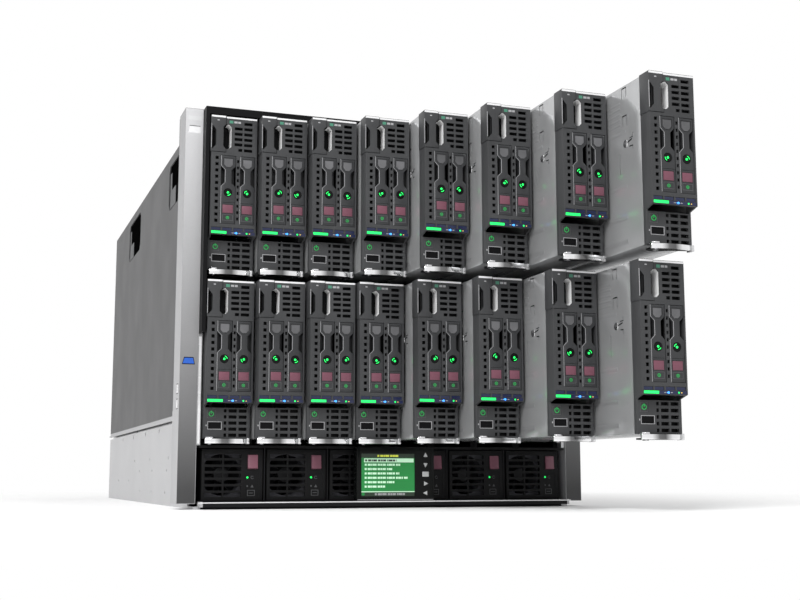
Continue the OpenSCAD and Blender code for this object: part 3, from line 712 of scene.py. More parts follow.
@dataclass(frozen=True)
class Part:
    """A prototype mesh with its finish, ready to be set into place any number of times."""

    name: str
    shape: bpy.types.Mesh
    finish: Finish | ReflectionGradient

    def put(self, label: str, body: str, slot: str, at: Vector,
            replaces: str | None = None) -> bpy.types.Object:
        """Sets one copy into place on a body.

        Args:
            label: Words that make the copy's name its own.
            body: The CAD body that it rides.
            slot: The record's material slot; not used.
            at: Where the prototype's origin goes, in metres.
            replaces: The CAD node that it stands for, where there is one.

        Returns:
            The new object.
        """
        shape = self.shape.copy()
        shape.transform(Matrix.Translation(at))
        piece = bpy.data.objects.new(f"{label}_{self.name}", shape)
        bpy.context.scene.collection.objects.link(piece)
        shape.materials.clear()
        shape.materials.append(self.finish.material())
        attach(piece, body)
        if replaces:
            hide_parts(replaces)
        return piece


def make(name: str, solid: Solid, finish: Finish | ReflectionGradient) -> Part:
    """Turns a finished shape into a prototype part.

    Args:
        name: The part's plain name.
        solid: Its shape, which is used up.
        finish: Its finish.

    Returns:
        The prototype.
    """
    part = Part(name, solid.mesh(name), finish)
    solid.bm.free()
    return part


def dress_node(node: str, finish: Finish | TwoZones) -> None:
    """Gives a CAD node that stays in view its material.

    Args:
        node: The node's name.
        finish: The finish to give it.
    """
    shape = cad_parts[node].data
    shape.materials.clear()
    shape.materials.append(finish.material())


class Slot(Enum):
    """The record's material slots."""

    TRIM = "black_trim"
    BLADE = "blade_metal"
    BOARD = "board"
    LEVER = "lever_chrome"
    SUPPLY = "psu_black"
    DISPLAY = "display_black"
    PILLAR = "pillar"
    LINER = "liner"
    BASE = "base_sheet"


@dataclass
class Unit:
    """A unit of the enclosure, made of prototype parts."""

    slot: Slot
    parts: list[tuple[Part, Slot]] = field(default_factory=list)

    def add(self, name: str, shape: Solid, finish: Finish | ReflectionGradient, slot: Slot | None = None) -> Part:
        """Makes a part of the unit and keeps it.

        Args:
            name: The part's plain name.
            shape: Its shape, which is used up.
            finish: Its finish.
            slot: Its material slot, the unit's own where it is None.

        Returns:
            The part.
        """
        part = make(name, shape, finish)
        self.parts.append((part, slot or self.slot))
        return part

    def place(self, node: str, body: str, at: Vector) -> None:
        """Sets one copy of every part into place.

        Args:
            node: The CAD node that the unit stands for.
            body: The CAD body that it rides.
            at: Where the unit's origin goes, in metres.
        """
        for part, slot in self.parts:
            part.put(node, body, slot.value, at, node)


# ---------------------------------------------------------------- blades

@dataclass(frozen=True)
class Ladder:
    """A column of equal openings, one under another, on a blade's face."""

    left: float
    right: float
    first: float
    pitch: float
    high: float
    count: int

    def rungs(self) -> list[tuple[Flat, Flat]]:
        """Lists the openings.

        Returns:
            The span across and the span down of each.
        """
        tops = [self.first + k * self.pitch for k in range(self.count)]
        return [((self.left, self.right), (top, top + self.high)) for top in tops]


class Row(Enum):
    """The two rows of blades."""

    LOWER = "lower"
    UPPER = "upper"


@dataclass
class Blade(Unit):
    """A half-height server blade in its own frame: x from its middle, y from its face, z from its foot."""

    slot: Slot = Slot.BLADE
    width: float = 51.3
    height: float = 179.0
    depth: float = 511.0
    foot: float = 6.6
    cover_d: float = 18.0
    wall: float = 2.0
    case_half: float = 25.35
    sheet: float = 1.2
    brow: float = 134.0
    panel_top: float = 137.6
    setback: float = 12.7
    grip_u: Flat = (-0.8, 15.8)
    grip_v: Flat = (-0.4, 41.0)
    hole_u: Flat = (12.9, 22.1)
    hole_v: Flat = (9.2, 37.4)
    hole_corner: float = 2.8
    slot_u: Flat = (1.0, 4.8)
    slot_v: Flat = (11.6, 38.0)
    slot_slope: float = 4.6
    slot_d: float = 7.2
    field_pitch: float = 12.4
    fields: int = 4
    light_v: float = 131.9
    drive_u: Flat = (10.8, 32.3)
    drive_w: float = 17.0
    drive_h: float = 77.5
    drive_drop: float = 44.5
    head: float = 12.0
    neck: float = 7.4
    neck_end: float = 31.0
    lamp_at: Flat = (8.5, 86.6)
    pivot: Flat = (-19.15, 8.2)
    cover_vents: tuple[Ladder, ...] = (
        Ladder(36.4, 45.8, 5.4, 6.1, 3.4, 6), Ladder(25.6, 34.6, 11.5, 6.1, 3.4, 4),
        Ladder(30.0, 34.6, 35.9, 6.1, 3.4, 1), Ladder(4.6, 8.2, 46.1, 7.1, 3.6, 11),
        Ladder(28.9, 31.3, 49.0, 7.25, 3.4, 10))
    panel_vents: tuple[Ladder, ...] = (
        Ladder(22.4, 25.4, 140.4, 6.6, 3.6, 5), Ladder(27.6, 36.6, 140.4, 6.6, 3.6, 5),
        Ladder(38.8, 47.8, 140.4, 6.6, 3.6, 5))

    def at(self, u: float, v: float) -> Flat:
        """Turns a place on the face into coordinates.

        Args:
            u: Distance from the left edge.
            v: Drop from the top.

        Returns:
            The x and the z.
        """
        return u - self.width / 2, self.height - v

    def spot(self, u: float, v: float, y: float) -> Point:
        """Turns a place on or behind the face into coordinates.

        Args:
            u: Distance from the left edge.
            v: Drop from the top.
            y: Distance behind the face.

        Returns:
            The point.
        """
        x, z = self.at(u, v)
        return x, y, z

    def face(self, u: Flat, v: Flat, y: Flat) -> tuple[Point, Point]:
        """Gives the corners of a block from its spans along the face and through it.

        Args:
            u: Distances from the left edge.
            v: Drops from the top, upper one first.
            y: Distances behind the face.

        Returns:
            The lowest and the highest corner.
        """
        (x0, z1), (x1, z0) = self.at(u[0], v[0]), self.at(u[1], v[1])
        return (x0, y[0], z0), (x1, y[1], z1)

    def outline(self, points: list[Flat]) -> list[Flat]:
        """Turns a flat outline on the face into coordinates.

        Args:
            points: Distance from the left edge and drop from the top of each point.

        Returns:
            The same points as x and z.
        """
        return [self.at(u, v) for u, v in points]

    def plates(self, *spans: tuple[Flat, Flat, Flat]) -> Solid:
        """Gathers blocks given by their spans across, down and behind the face.

        Args:
            *spans: The three spans of each block.

        Returns:
            The blocks as one shape.
        """
        made = Solid()
        for u, v, y in spans:
            made.block(*self.face(u, v, y))
        return made

    def profile(self, wall: float) -> list[Flat]:
        """Gives the cover's section seen from the side, at a distance inside its outer face.

        Args:
            wall: Distance inside the outer face.

        Returns:
            Points in y and z.
        """
        back = self.cover_d + (1 if wall else 0)
        top, low = self.height - wall, self.foot + wall
        panel = self.height - self.panel_top - wall
        return [(wall, top - 1.4), (wall + 1.2, top), (back, top), (back, low), (self.setback + wall, low),
                (self.setback + wall, panel), (wall, self.height - self.brow - wall)]

    def openings(self) -> Solid:
        """Gathers the cutters of every vent and drive opening.

        Returns:
            One shape with all the cutters.
        """
        cut = Solid()
        for ladder in self.cover_vents:
            cut.join(self.plates(*((u, v, (-1, 4)) for u, v in ladder.rungs())))
        drive_v = (self.drive_drop, self.drive_drop + self.drive_h)
        for u in self.drive_u:
            cut.block(*self.face((u, u + self.drive_w), drive_v, (-1, 4)))
        for ladder in self.panel_vents:
            through = (self.setback - 1, self.setback + 4)
            cut.join(self.plates(*((u, v, through) for u, v in ladder.rungs())))
        return cut

    def recesses(self) -> Solid:
        """Gathers the cutters of the shallow marks: the four fields, the strip's step and the port.

        Returns:
            One shape with all the cutters.
        """
        lefts = [1.2 + k * self.field_pitch for k in range(self.fields)]
        return self.plates(
            *(((left, left + 10.8), (126.0, 129.8), (-1, 1.0)) for left in lefts),
            ((1.2, 50.1), (130.1, 133.6), (-1, 0.5)),
            ((5.0, 19.8), (154.4, 162.2), (self.setback - 1, self.setback + 1.2)),
            ((3.6, 13.6), (140.8, 150.8), (self.setback - 1, self.setback + 0.4)),
            ((18.6, 34.4), (3.3, 9.3), (-1, 0.25)))

    def finger_hole(self, inset: float = 0.0) -> list[Flat]:
        """Gives the outline of the finger opening beside the grip.

        Args:
            inset: Distance inside the opening's edge.

        Returns:
            Points in x and z.
        """
        (left, right), (top, foot), corner = self.hole_u, self.hole_v, self.hole_corner
        half = inset / 2
        return self.outline([
            (left + inset, top + corner), (left + corner + half, top + inset),
            (right - corner - half, top + inset), (right - inset, top + corner + half),
            (right - inset, foot - corner - half), (right - corner - half, foot - inset),
            (left + corner + half, foot - inset), (left + inset, foot - corner)])

    def grip_slot(self) -> Solid:
        """Makes the cutter of the slot in the grip's left edge.

        Returns:
            The cutter.
        """
        (shallow, deep), (top, foot), slope = self.slot_u, self.slot_v, self.slot_slope
        edge = [(0, top), (shallow, top), (deep, top + slope),
                (deep, foot - slope), (shallow, foot), (0, foot)]
        return Solid().prism(self.outline(edge), Plane.XZ, -2, self.slot_d)

    def build_cover(self) -> None:
        """Makes the moulded cover with its brow and its openings."""
        half = self.width / 2
        shell = Solid().prism(self.profile(0), Plane.YZ, -half, half).soften(0.45, 2)
        shell.carve(Solid().prism(self.profile(self.wall), Plane.YZ, -half + self.wall, half - self.wall))
        shell.carve(self.openings())
        shell.carve(self.recesses())
        shell.carve(Solid().prism(self.finger_hole(), Plane.XZ, -2, 15))
        shell.carve(self.grip_slot())
        self.add("cover", shell, COVER, Slot.TRIM)

    def build_grip(self) -> None:
        """Makes the grip wrapped round the cover's edge, with a painted highlight down its left edge, and the
        tub behind the finger opening, whose left half is black as painted shade under the grip.
        """
        (left, right), (top, foot) = self.grip_u, self.grip_v
        waist, (upper, lower), corner = self.hole_u[0], self.hole_v, self.hole_corner
        grip = Solid().prism(self.outline([
            (left, foot), (right, foot), (right, lower), (waist, lower - corner), (waist, upper + corner),
            (right, upper), (right, top), (left, top)]), Plane.XZ, -0.8, 17.2).soften(0.4, 2)
        grip.carve(self.grip_slot())
        self.add("grip", grip, COVER, Slot.TRIM)
        # painted shade: the tub's left half is black for the shade under the grip, the right half keeps the
        # tub's pale colour
        for name, span, finish in (("tub_left_painted_shade", (11.0, 17.4), BLACK_AND_SHADE), ("tub_right", (17.42, 24.0), TUB)):
            tub = self.plates((span, (7.6, 39), (1.0, 15.0)))
            tub.carve(Solid().prism(self.finger_hole(0.1), Plane.XZ, -1, 14))
            self.add(name, tub, finish)
        # painted highlight: a pale strip down the grip's left edge
        self.add("grip_edge_highlight", self.plates(((-0.78, -0.2), (9.5, 37), (-0.84, 0.4))), RIM)

    def build_painted_shade(self) -> None:
        """Makes the painted shade behind the openings, the grip's slot and the tub, and the dark joints round
        the grip and along the top.
        """
        panel, joint = self.setback + 4.5, (15.85, 16.35)
        # painted shade: black sheets behind the vents, the lower panel, the grip's slot and the tub's back,
        # then the dark joint lines
        shade = self.plates(
            ((2.4, 10.6), (42, 133), (4.5, 5.0)),
            ((28.0, 32.1), (42, 133), (4.5, 5.0)),
            ((24.6, 48.8), (3, 43.8), (5.5, 6.0)),
            ((3, 48), (139.0, 172), (panel, panel + 0.5)),
            ((0.1, 5.6), (10.6, 38.4), (7.0, 7.5)),
            ((11.2, 12.7), (9.6, 37), (13.2, 13.6)),
            ((12.2, 22.6), (8.9, 37.7), (13.5, 13.95)),
            (joint, (0.9, 9.1), (-0.06, 0.3)),
            (joint, (37.5, 41.5), (-0.06, 0.3)),
            ((-0.6, 15.4), (-0.42, -0.1), (-0.9, 0.6)),
            ((16.3, 50.8), (0.02, 0.35), (-0.08, 1.0)),
            ((0.6, 16.35), (41.05, 41.5), (-0.06, 0.3)))
        self.add("shade", shade, BLACK_AND_SHADE, Slot.TRIM)

    def build_marks(self) -> None:
        """Makes the bare plates, the painted highlights along the top edges and the strip of lights."""
        self.add("plate_left", self.plates(((19.6, 23.8), (4.4, 7.6), (0.1, 0.35))), GREEN_PALE, Slot.TRIM)
        plates = self.plates(
            ((25.0, 28.6), (4.9, 7.1), (0.1, 0.35)),
            ((29.4, 32.4), (4.9, 7.1), (0.1, 0.35)),
            ((5.8, 8.2), (4.6, 5.8), (-0.9, -0.7)),
            ((24.2, 26.6), (131.6, 132.3), (0.2, 0.6)),
            ((31.8, 34.0), (131.6, 132.3), (0.2, 0.6)))
        self.add("plate_right", plates, MARK, Slot.TRIM)
        # painted highlight: pale strips along the top edges of the grip and the cover
        edges = self.plates(((-0.6, 15.4), (-0.1, 1.9), (-0.88, -0.3)),
                            ((16.3, 50.8), (0.35, 2.2), (-0.06, 0.9)))
        self.add("top_edge_highlight", edges, EDGE)
        lefts = [1.6 + k * self.field_pitch for k in range(self.fields)]
        strip = self.plates(((1.3, 50.0), (130.2, 133.5), (0.3, 0.9)),
                            *(((left, left + 10.0), (126.4, 129.5), (0.8, 1.2)) for left in lefts))
        self.add("strip", strip, SMOKE, Slot.TRIM)
        bar = self.plates(((1.6, 18.4), (130.5, 133.2), (-0.05, 0.5))).soften(0.2, 1)
        bar.rod(self.spot(41.0, self.light_v, 0.5), Plane.XZ, 1.1, -0.6, 0.8, 16)
        self.add("green_bar", bar, GREEN)
        blue = Solid().rod(self.spot(29.4, self.light_v, 0.5), Plane.XZ, 1.3, -0.6, 0.9, 16)
        blue.block(*self.face((27.4, 28.4), (131.4, 132.4), (0.2, 0.5)))
        self.add("blue_lamp", blue, BLUE)
        self.add("amber_lamp", self.plates(((43.6, 44.8), (131.6, 132.3), (0.2, 0.5))), AMBER)

    def build_panel(self) -> None:
        """Makes the power button and the service port of the lower panel."""
        face = self.setback
        button = Solid().hoop(self.spot(8.6, 145.8, face + 0.1), Plane.XZ, 2.4, 0.7, 0.9)
        button.block(*self.face((8.2, 9.0), (142.4, 145.6), (face - 0.4, face + 0.4)))
        self.add("power_ring", button, GREEN_DIM)
        port = self.plates(((4.6, 20.2), (154.0, 162.6), (face - 0.25, face + 0.4)))
        port.carve(self.plates(((5.2, 19.6), (154.6, 162.0), (face - 1, face + 1))))
        port.block(*self.face((2.6, 3.8), (157.4, 159.2), (face - 0.2, face + 0.3)))
        self.add("port_frame", port, RIM)
        surround = self.plates(((4.0, 13.2), (141.2, 150.4), (face + 0.1, face + 0.5)))
        surround.carve(self.plates(((4.5, 12.7), (141.7, 149.9), (face - 1, face + 1))))
        self.add("button_frame", surround, LINE, Slot.TRIM)
        socket = self.plates(((5.3, 19.5), (154.7, 161.9), (face + 0.9, face + 1.15)))
        self.add("port_socket", socket, BLACK_AND_SHADE, Slot.TRIM)

    def carrier_outline(self, play: float) -> list[Flat]:
        """Gives the spool outline of a drive carrier's front: head, neck and foot.

        Args:
            play: Clearance all round.

        Returns:
            Points as left distance and drop, from the opening's top left corner.
        """
        w, n = self.drive_w - 2 * play, (self.drive_w - 2 * play - self.neck) / 2
        head, end, foot = self.head - play, self.neck_end - play, self.drive_h - 2 * play
        points = [(0, 0), (w, 0), (w, head), (w - n, head + n), (w - n, end), (w, end + n), (w, foot),
                  (0, foot), (0, end + n), (n, end), (n, head + n), (0, head)]
        return [(play + a, play + self.drive_drop + b) for a, b in points]

    def build_carriers(self) -> None:
        """Makes both drive carriers: fronts, painted highlights along their left rims, lamp beds, release
        squares, badges and drives.
        """
        front, rim, pad, lamp_bed, drive, release, badge, icon = (Solid() for _ in range(8))
        lamp_u, lamp_v = self.lamp_at
        for u0 in self.drive_u:
            points = [(u0 + a, b) for a, b in self.carrier_outline(0.35)]
            body = Solid().prism(self.outline(points), Plane.XZ, 0.4, 9.0).soften(0.35, 2)
            body.carve(self.plates(((u0 - 1, u0 + 18), (97.8, 98.3), (-1, 1.2))))
            body.carve(Solid().prism(self.outline(self._shield(u0, 0.0)), Plane.XZ, -1, 0.9))
            body.carve(Solid().rod(self.spot(u0 + lamp_u, lamp_v, -1), Plane.XZ, 5.0, 2.0))
            body.carve(self.plates(((u0 + 2.2, u0 + 14.8), (100.0, 110.2), (-1, 0.9))))
            body.carve(self.plates(((u0 + 2.2, u0 + 14.8), (111.2, 118.8), (-1, 0.7))))
            front.join(body)
            front.block(*self.face((u0 + 0.35, u0 + 16.65), (44.9, 121.7), (9, 13)))
            # painted highlight: a pale strip along each carrier's left outline
            left = [points[0], *reversed(points[7:])]
            inner = [(a + 0.5, b) for a, b in reversed(left)]
            rim.prism(self.outline(left + inner), Plane.XZ, 0.28, 1.2)
            pad.prism(self.outline(self._shield(u0, 1.1)), Plane.XZ, 0.35, 0.95)
            lamp_bed.rod(self.spot(u0 + lamp_u, lamp_v, 0.9), Plane.XZ, 4.7, -0.3, 4.4)
            square = self.plates(((u0 + 2.7, u0 + 14.3), (100.6, 109.8), (0.2, 1.0)))
            release.join(square.soften(0.25, 2))
            badge.block(*self.face((u0 + 2.5, u0 + 14.5), (111.5, 118.5), (0.35, 0.75)))
            badge.carve(self.plates(((u0 + 3.1, u0 + 13.9), (112.1, 117.9), (0, 1))))
            icon.hoop(self.spot(u0 + lamp_u, 115.0, 0.6), Plane.XZ, 1.5, 0.6, 0.3, steps=20)
            icon.rod(self.spot(u0 + lamp_u, 115.0, 0.7), Plane.XZ, 0.6, -0.25, segments=12)
            drive.block(*self.face((u0 + 1, u0 + 16), (47.5, 119), (13, 112)))
        self.add("carriers", front, CARRIER, Slot.TRIM)
        self.add("carrier_rim_highlights", rim, RIM)
        self.add("head_pads", pad, PAD, Slot.TRIM)
        self.add("lamp_beds", lamp_bed, GLOSS, Slot.TRIM)
        self.add("release_squares", release, PINK, Slot.TRIM)
        self.add("badge_frames", badge, LINE, Slot.TRIM)
        self.add("badge_icons", icon, GREEN_DIM)
        self.add("drives", drive, BLACK_AND_SHADE, Slot.TRIM)

    @staticmethod
    def _shield(u0: float, inset: float) -> list[Flat]:
        """Gives the outline of the embossed shield on a carrier's head.

        Args:
            u0: The carrier's distance from the left edge.
            inset: Distance inside the shield's edge.

        Returns:
            Distance from the left edge and drop from the top of each point.
        """
        i = inset
        return [(u0 + 2.6 + i, 47.2 + i), (u0 + 14.4 - i, 47.2 + i), (u0 + 14.4 - i, 55.4 - i / 2),
                (u0 + 11.2 - i / 2, 58.8 - i), (u0 + 5.8 + i / 2, 58.8 - i), (u0 + 2.6 + i, 55.4 - i / 2)]

    def lamp(self, turn: float) -> Part:
        """Makes the green dot and the arc beside it that show a drive at work.

        Args:
            turn: Angle of the arc's middle in degrees.

        Returns:
            The lamp about its own middle, at the face of its bed.
        """
        shape = Solid().rod((0, 0.65, 0), Plane.XZ, 1.45, -0.35, 1.1, 16)
        shape.hoop((0, 0.5, 0), Plane.XZ, 3.1, 0.75, 0.25, turn - 38, 76, 10)
        return make("drive_lamp", shape, GREEN)

    def build_case(self) -> None:
        """Makes the sheet metal case with its ribs, stamped notches, sprung tongue and stud."""
        half, top = self.case_half, self.height - 0.3
        case = Solid().block((-half, self.cover_d - 2, self.foot), (half, self.depth, top)).soften(0.35, 2)
        inner = half - self.sheet
        case.carve(Solid().block((-inner, 10, self.foot + self.sheet),
                                 (inner, self.depth - self.sheet, top - self.sheet)))
        cut = Solid().block((-12, self.depth - 3, 30), (12, self.depth + 3, 120))
        for side in (-1, 1):
            low, high = sorted((side * (half - 3), side * (half + 3)))
            for v in (2.2, 31.6):
                z = self.height - v
                stirrup = [(44.8, z - 11.2), (46.0, z - 11.2), (46.0, z - 1.4), (53.2, z - 1.4),
                           (53.2, z - 11.2), (54.4, z - 11.2), (54.4, z), (44.8, z)]
                cut.prism(stirrup, Plane.YZ, low, high)
            for z, s in ((self.height - 56.8, 1), (self.height - 67.4, -1)):
                cut.prism([(34.0, z + 3.4 * s), (35.2, z + 3.4 * s), (35.2, z), (42.0, z - 0.6 * s),
                           (42.0, z - 1.6 * s), (34.0, z - 1.2 * s)], Plane.YZ, low, high)
            cut.block((low, 60.0, self.height - 92), (high, 61.2, self.height - 70))
            cut.block((low, 300, self.height - 60), (high, 330, self.height - 30))
        case.carve(cut)
        self.add("case", case, ZINC)
        ribs = Solid()
        for side in (-1, 1):
            for k in range(5):
                z = self.height - 17 - k * 5.6
                ribs.join(self._rib(side, 58, 92, z, 1.5))
            for z in (self.height - 49, self.height - 106, self.height - 139, self.height - 163):
                ribs.join(self._rib(side, 48, 420, z, 2.2))
            ribs.join(self._rib(side, 110, 470, self.height - 20, 2.2))
        self.add("ribs", ribs, ZINC)
        stud = Solid()
        for side in (-1, 1):
            stud.rod((side * (half - 0.4), 48.5, self.height - 62.0), Plane.YZ, 4.2, side * 0.9, 3.9, 28)
            stud.rod((side * (half + 0.5), 48.5, self.height - 62.0), Plane.YZ, 3.9, side * 0.6, 1.8, 28)
        self.add("studs", stud, STEEL)
        pins = Solid()
        for side in (-1, 1):
            x, z = side * half, self.height - 62
            pin = Solid().block((x - 0.28, 35.4, z - 0.5), (x + 0.28, 46.4, z + 0.7))
            pins.join(pin.turned((x, 46, z), Plane.YZ, -12))
        self.add("tongue_pins", pins, BLACK_AND_SHADE, Slot.TRIM)

    def _rib(self, side: int, y0: float, y1: float, z: float, width: float) -> Solid:
        """Makes one low pressed rib along the case.

        Args:
            side: -1 for the left wall, 1 for the right.
            y0: Where it begins.
            y1: Where it ends.
            z: Its height.
            width: Half of its width.

        Returns:
            The rib.
        """
        x, w = side * self.case_half, width
        points = [(-w, 0.0), (-w * 0.5, 0.17), (0, 0.25), (w * 0.5, 0.17), (w, 0.0), (0, -0.6)]
        return Solid().prism([(x + side * b, z + a) for a, b in points], Plane.XZ, y0, y1)

    def build_inside(self) -> None:
        """Makes what shows through the case's openings: board, coolers, memory, connector and latch."""
        wall = self.case_half - self.sheet
        board = Solid().block((wall - 3.2, 130, self.foot + 6),
                              (wall - 1.6, self.depth - 1.4, self.height - 8))
        self.add("mainboard", board, BOARD, Slot.BOARD)
        fins = Solid()
        for y in (210, 350):
            fins.block((wall - 8, y, 45), (wall - 3.2, y + 80, 122))
            for k in range(14):
                fins.block((wall - 30, y, 45 + k * 5.8), (wall - 8, y + 80, 46 + k * 5.8))
        self.add("coolers", fins, ZINC_BRIGHT)
        sticks = Solid()
        for y in (300, 308, 316, 324, 442, 450, 458, 466):
            sticks.block((wall - 32, y, 30), (wall - 3.2, y + 3, 150))
        sticks.block((-11.5, self.depth - 24, 30.5), (wall - 3, self.depth, 119.5))
        self.add("memory_and_plug", sticks, BLACK_AND_SHADE, Slot.TRIM)
        pins = Solid()
        for k in range(20):
            for x in (-8, -3, 2, 7):
                pins.block((x, self.depth - 0.6, 34 + k * 4.2), (x + 1.6, self.depth - 0.02, 35.6 + k * 4.2))
        self.add("plug_pins", pins, STEEL)
        half = self.width / 2
        latch = Solid().block((half - 4.6, self.setback - 6, 0.9),
                              (half - 1.4, self.setback + 3, self.foot + 0.6))
        latch.soften(0.4, 2)
        px, py = self.pivot
        latch.rod((px, py, 0.0), Plane.XY, 3.4, 0.7, 2.6, 28)
        latch.rod((px, py, 0.7), Plane.XY, 2.0, self.foot, segments=28)
        back = self.setback - py
        lug = [(-4.6, back), (-4.6, -1.4), (-2.6, -3.8), (2.6, -3.8), (6.6, 1.4), (6.6, back)]
        arm = Solid().prism([(px + x, py + y) for x, y in lug], Plane.XY, self.foot, self.foot + 1.6)
        latch.join(arm.soften(0.3, 2))
        self.add("latch_and_pin", latch, STEEL)

    def build(self) -> "Blade":
        """Builds every prototype of a blade.

        Returns:
            The blade itself.
        """
        self.build_cover()
        self.build_grip()
        self.build_painted_shade()
        self.build_marks()
        self.build_panel()
        self.build_carriers()
        self.build_case()
        self.build_inside()
        return self


@dataclass
class Lever(Unit):
    """The ejector lever under a blade, in the blade's own frame."""

    slot: Slot = Slot.LEVER
    left: float = -24.85
    right: float = 20.75
    low: float = 1.0
    high: float = 6.3
    radius: float = 70.0
    bar: float = 2.6
    front: float = 1.4
    bow_x: float = -1.0
    cap: float = 3.4
    pivot: Flat = (-19.15, 8.2)

    def arc(self, radius: float, start: float, end: float, steps: int) -> list[Flat]:
        """Gives points along the lever's front curve.

        Args:
            radius: Radius of the curve.
            start: First x.
            end: Last x.
            steps: Pieces of the curve.

        Returns:
            Points in x and y.
        """
        points = []
        for k in range(steps + 1):
            x = start + (end - start) * k / steps
            points.append((x, self.front + self.radius - math.sqrt(radius ** 2 - (x - self.bow_x) ** 2)))
        return points

    def build(self) -> "Lever":
        """Builds the curved bar, the black plate, the hub with its claw and the end cap.

        Returns:
            The lever itself.
        """
        bar_end = self.right - self.cap
        outer = self.arc(self.radius, self.left, bar_end, 22)
        inner = self.arc(self.radius - self.bar, bar_end, self.left, 22)
        curve = Solid().prism(outer + inner, Plane.XY, self.low, self.high)
        # the bar's finish paints its reflection along the map laid out next
        bar = self.add("bar", curve.soften(0.5, 2, 40), BAR_REFLECTION)
        BAR_REFLECTION.unroll(bar.shape, self.left, bar_end)
        cap_start = bar_end + 0.1
        end = self.arc(self.radius - 0.2, cap_start, self.right, 3)
        cap = Solid().prism(end + [(self.right, 8.4), (cap_start, 8.4)], Plane.XY, self.low + 0.2, self.high)
        cap.soften(0.4, 2)
        cap.block((-12, 8.2, 2.6), (-2, 9.0, 4.4))
        self.add("end_cap", cap, ZINC)
        px, py = self.pivot
        back = [(self.right, 8.0), (px + (self.right - px) / 2, 12), (px + 6, 20), (px + 1, 21),
                (self.left, 17)]
        outline = self.arc(self.radius - 1.4, self.left, self.right, 18) + back
        plate = Solid().prism(outline, Plane.XY, self.low, 2.6).soften(0.3, 1)
        plate.carve(Solid().rod((px, py, 0), Plane.XY, 2.3, 4))
        self.add("plate", plate, BLACK_AND_SHADE)
        foot = self.low + 0.05
        hub = Solid().rod((px, py, foot), Plane.XY, 4.1, self.high - foot).soften(0.35, 2)
        claw = [(px + a, py + b) for a, b in ((-2, 2), (4, 0), (6.5, 5), (4.6, 8.6), (1.8, 9.4), (2.6, 6))]
        hub.join(Solid().prism(claw, Plane.XY, self.low, 3.6).soften(0.3, 1))
        hub.carve(Solid().rod((px, py, 0), Plane.XY, 2.3, 8))
        for x, y in ((-4, 7.0), (8, 6.4)):
            hub.rod((x, y, 2.6), Plane.XY, 1.5, 0.9, 1.0, 18)
        self.add("hub", hub, STEEL)
        return self


# ---------------------------------------------------------------- power supplies

@dataclass
class PowerSupply(Unit):
    """A power supply in its own frame: x from its middle, y from its face, z from its underside."""

    slot: Slot = Slot.SUPPLY
    half: float = 33.83
    height: float = 56.4
    depth: float = 430.0
    wall: float = 1.2
    slots: int = 7
    slot_pitch: float = 7.0
    slot_w: float = 19.0
    fan_x: float = 24.0
    vanes: int = 7

    def build(self) -> "PowerSupply":
        """Builds the case, the fan, the latch, the lamps and the rear plate.

        Returns:
            The supply itself.
        """
        half, high, wall = self.half, self.height, self.wall
        fan_at = self.fan_x - half
        case = Solid().block((-half, 0, 0), (half, self.depth, high)).soften(0.5, 2)
        case.carve(Solid().block((-half + wall, 3, wall), (half - wall, self.depth - wall, high - wall)))
        cut = Solid()
        steps = [k * self.slot_pitch for k in range(self.slots)]
        for x in (3.4 - half, 24.4 - half):
            for step in steps:
                cut.block((x, -1, 4.4 + step), (x + self.slot_w, 5, 8.8 + step))
        for step in steps:
            cut.block((6 - half, self.depth - 3, 5 + step), (half - 6, self.depth + 2, 8.6 + step))
        case.carve(cut)
        case.carve(Solid().block((half - 19, -1, 4), (half - 4, 0.4, 30)))
        self.add("case", case, PSU)
        rails = Solid().block((2.8 - half, 0.02, 52.6), (44 - half, 0.9, 53.4))
        rails.block((half - 2.2, 0.02, 3), (half - 1.4, 0.6, high - 22))
        self.add("face_lines", rails, CARRIER)
        ring = Solid().block((0.8 - half, 12, 0.8), (47 - half, 36, high - 0.8))
        ring.carve(Solid().rod((fan_at, 10, high / 2), Plane.XZ, 22.6, 30, segments=48))
        ring.block((4 - half, 34, high / 2 - 2.5), (44 - half, 37, high / 2 + 2.5))
        self.add("fan_ring", ring, FAN)
        fan = Solid().rod((fan_at, 13, high / 2), Plane.XZ, 8.4, 22, 9.0, 32).soften(0.8, 2)
        for k in range(self.vanes):
            vane = Solid().block((6, -6, -0.7), (21.6, 6, 0.7)).soften(0.3, 1)
            vane.turned((0, 0, 0), Plane.YZ, 40).moved((0, 24, 0))
            vane.turned((0, 0, 0), Plane.XZ, k * 360 / self.vanes)
            fan.join(vane.moved((fan_at, 0, high / 2)))
        self.add("fan", fan, FAN_PALE)
        hook = [(1, high - 6), (-1.6, high - 6.6), (-2.4, high - 19), (-3.4, high - 21), (-1, high - 22),
                (1, high - 22)]
        latch = Solid().prism(hook, Plane.YZ, half - 17, half - 6).soften(0.35, 2)
        self.add("latch", latch, LATCH)
        green = Solid().rod((half - 17.0, 0.6, 25.4), Plane.XZ, 1.3, -0.7, 0.9, 18)
        self.add("lamp", green, GREEN)
        marks = Solid().rod((half - 17.0, 0.5, 16.0), Plane.XZ, 1.0, -0.4, 0.8, 16)
        marks.hoop((half - 11.6, 0.35, 25.4), Plane.XZ, 1.5, 0.5, 0.2, 20, 300, 16)
        marks.prism([(half - 13.2, 14.6), (half - 10.0, 14.6), (half - 11.6, 17.6)], Plane.XZ, 0.25, 0.45)
        sign = Solid().block((half - 17.0, 0.2, 5.4), (half - 8.6, 0.45, 11.8))
        sign.carve(Solid().block((half - 16.4, 0, 6.0), (half - 9.2, 1, 11.2)))
        sign.block((half - 15.2, 0.2, 8.2), (half - 10.4, 0.4, 8.9))
        self.add("marks", marks.join(sign), LINE)
        return self


# ---------------------------------------------------------------- status display

class Arrow(Enum):
    """The signs on the display's keys, from the top down."""

    UP = 90
    DOWN = -90
    ENTER = 360
    RIGHT = 0
    LEFT = 180


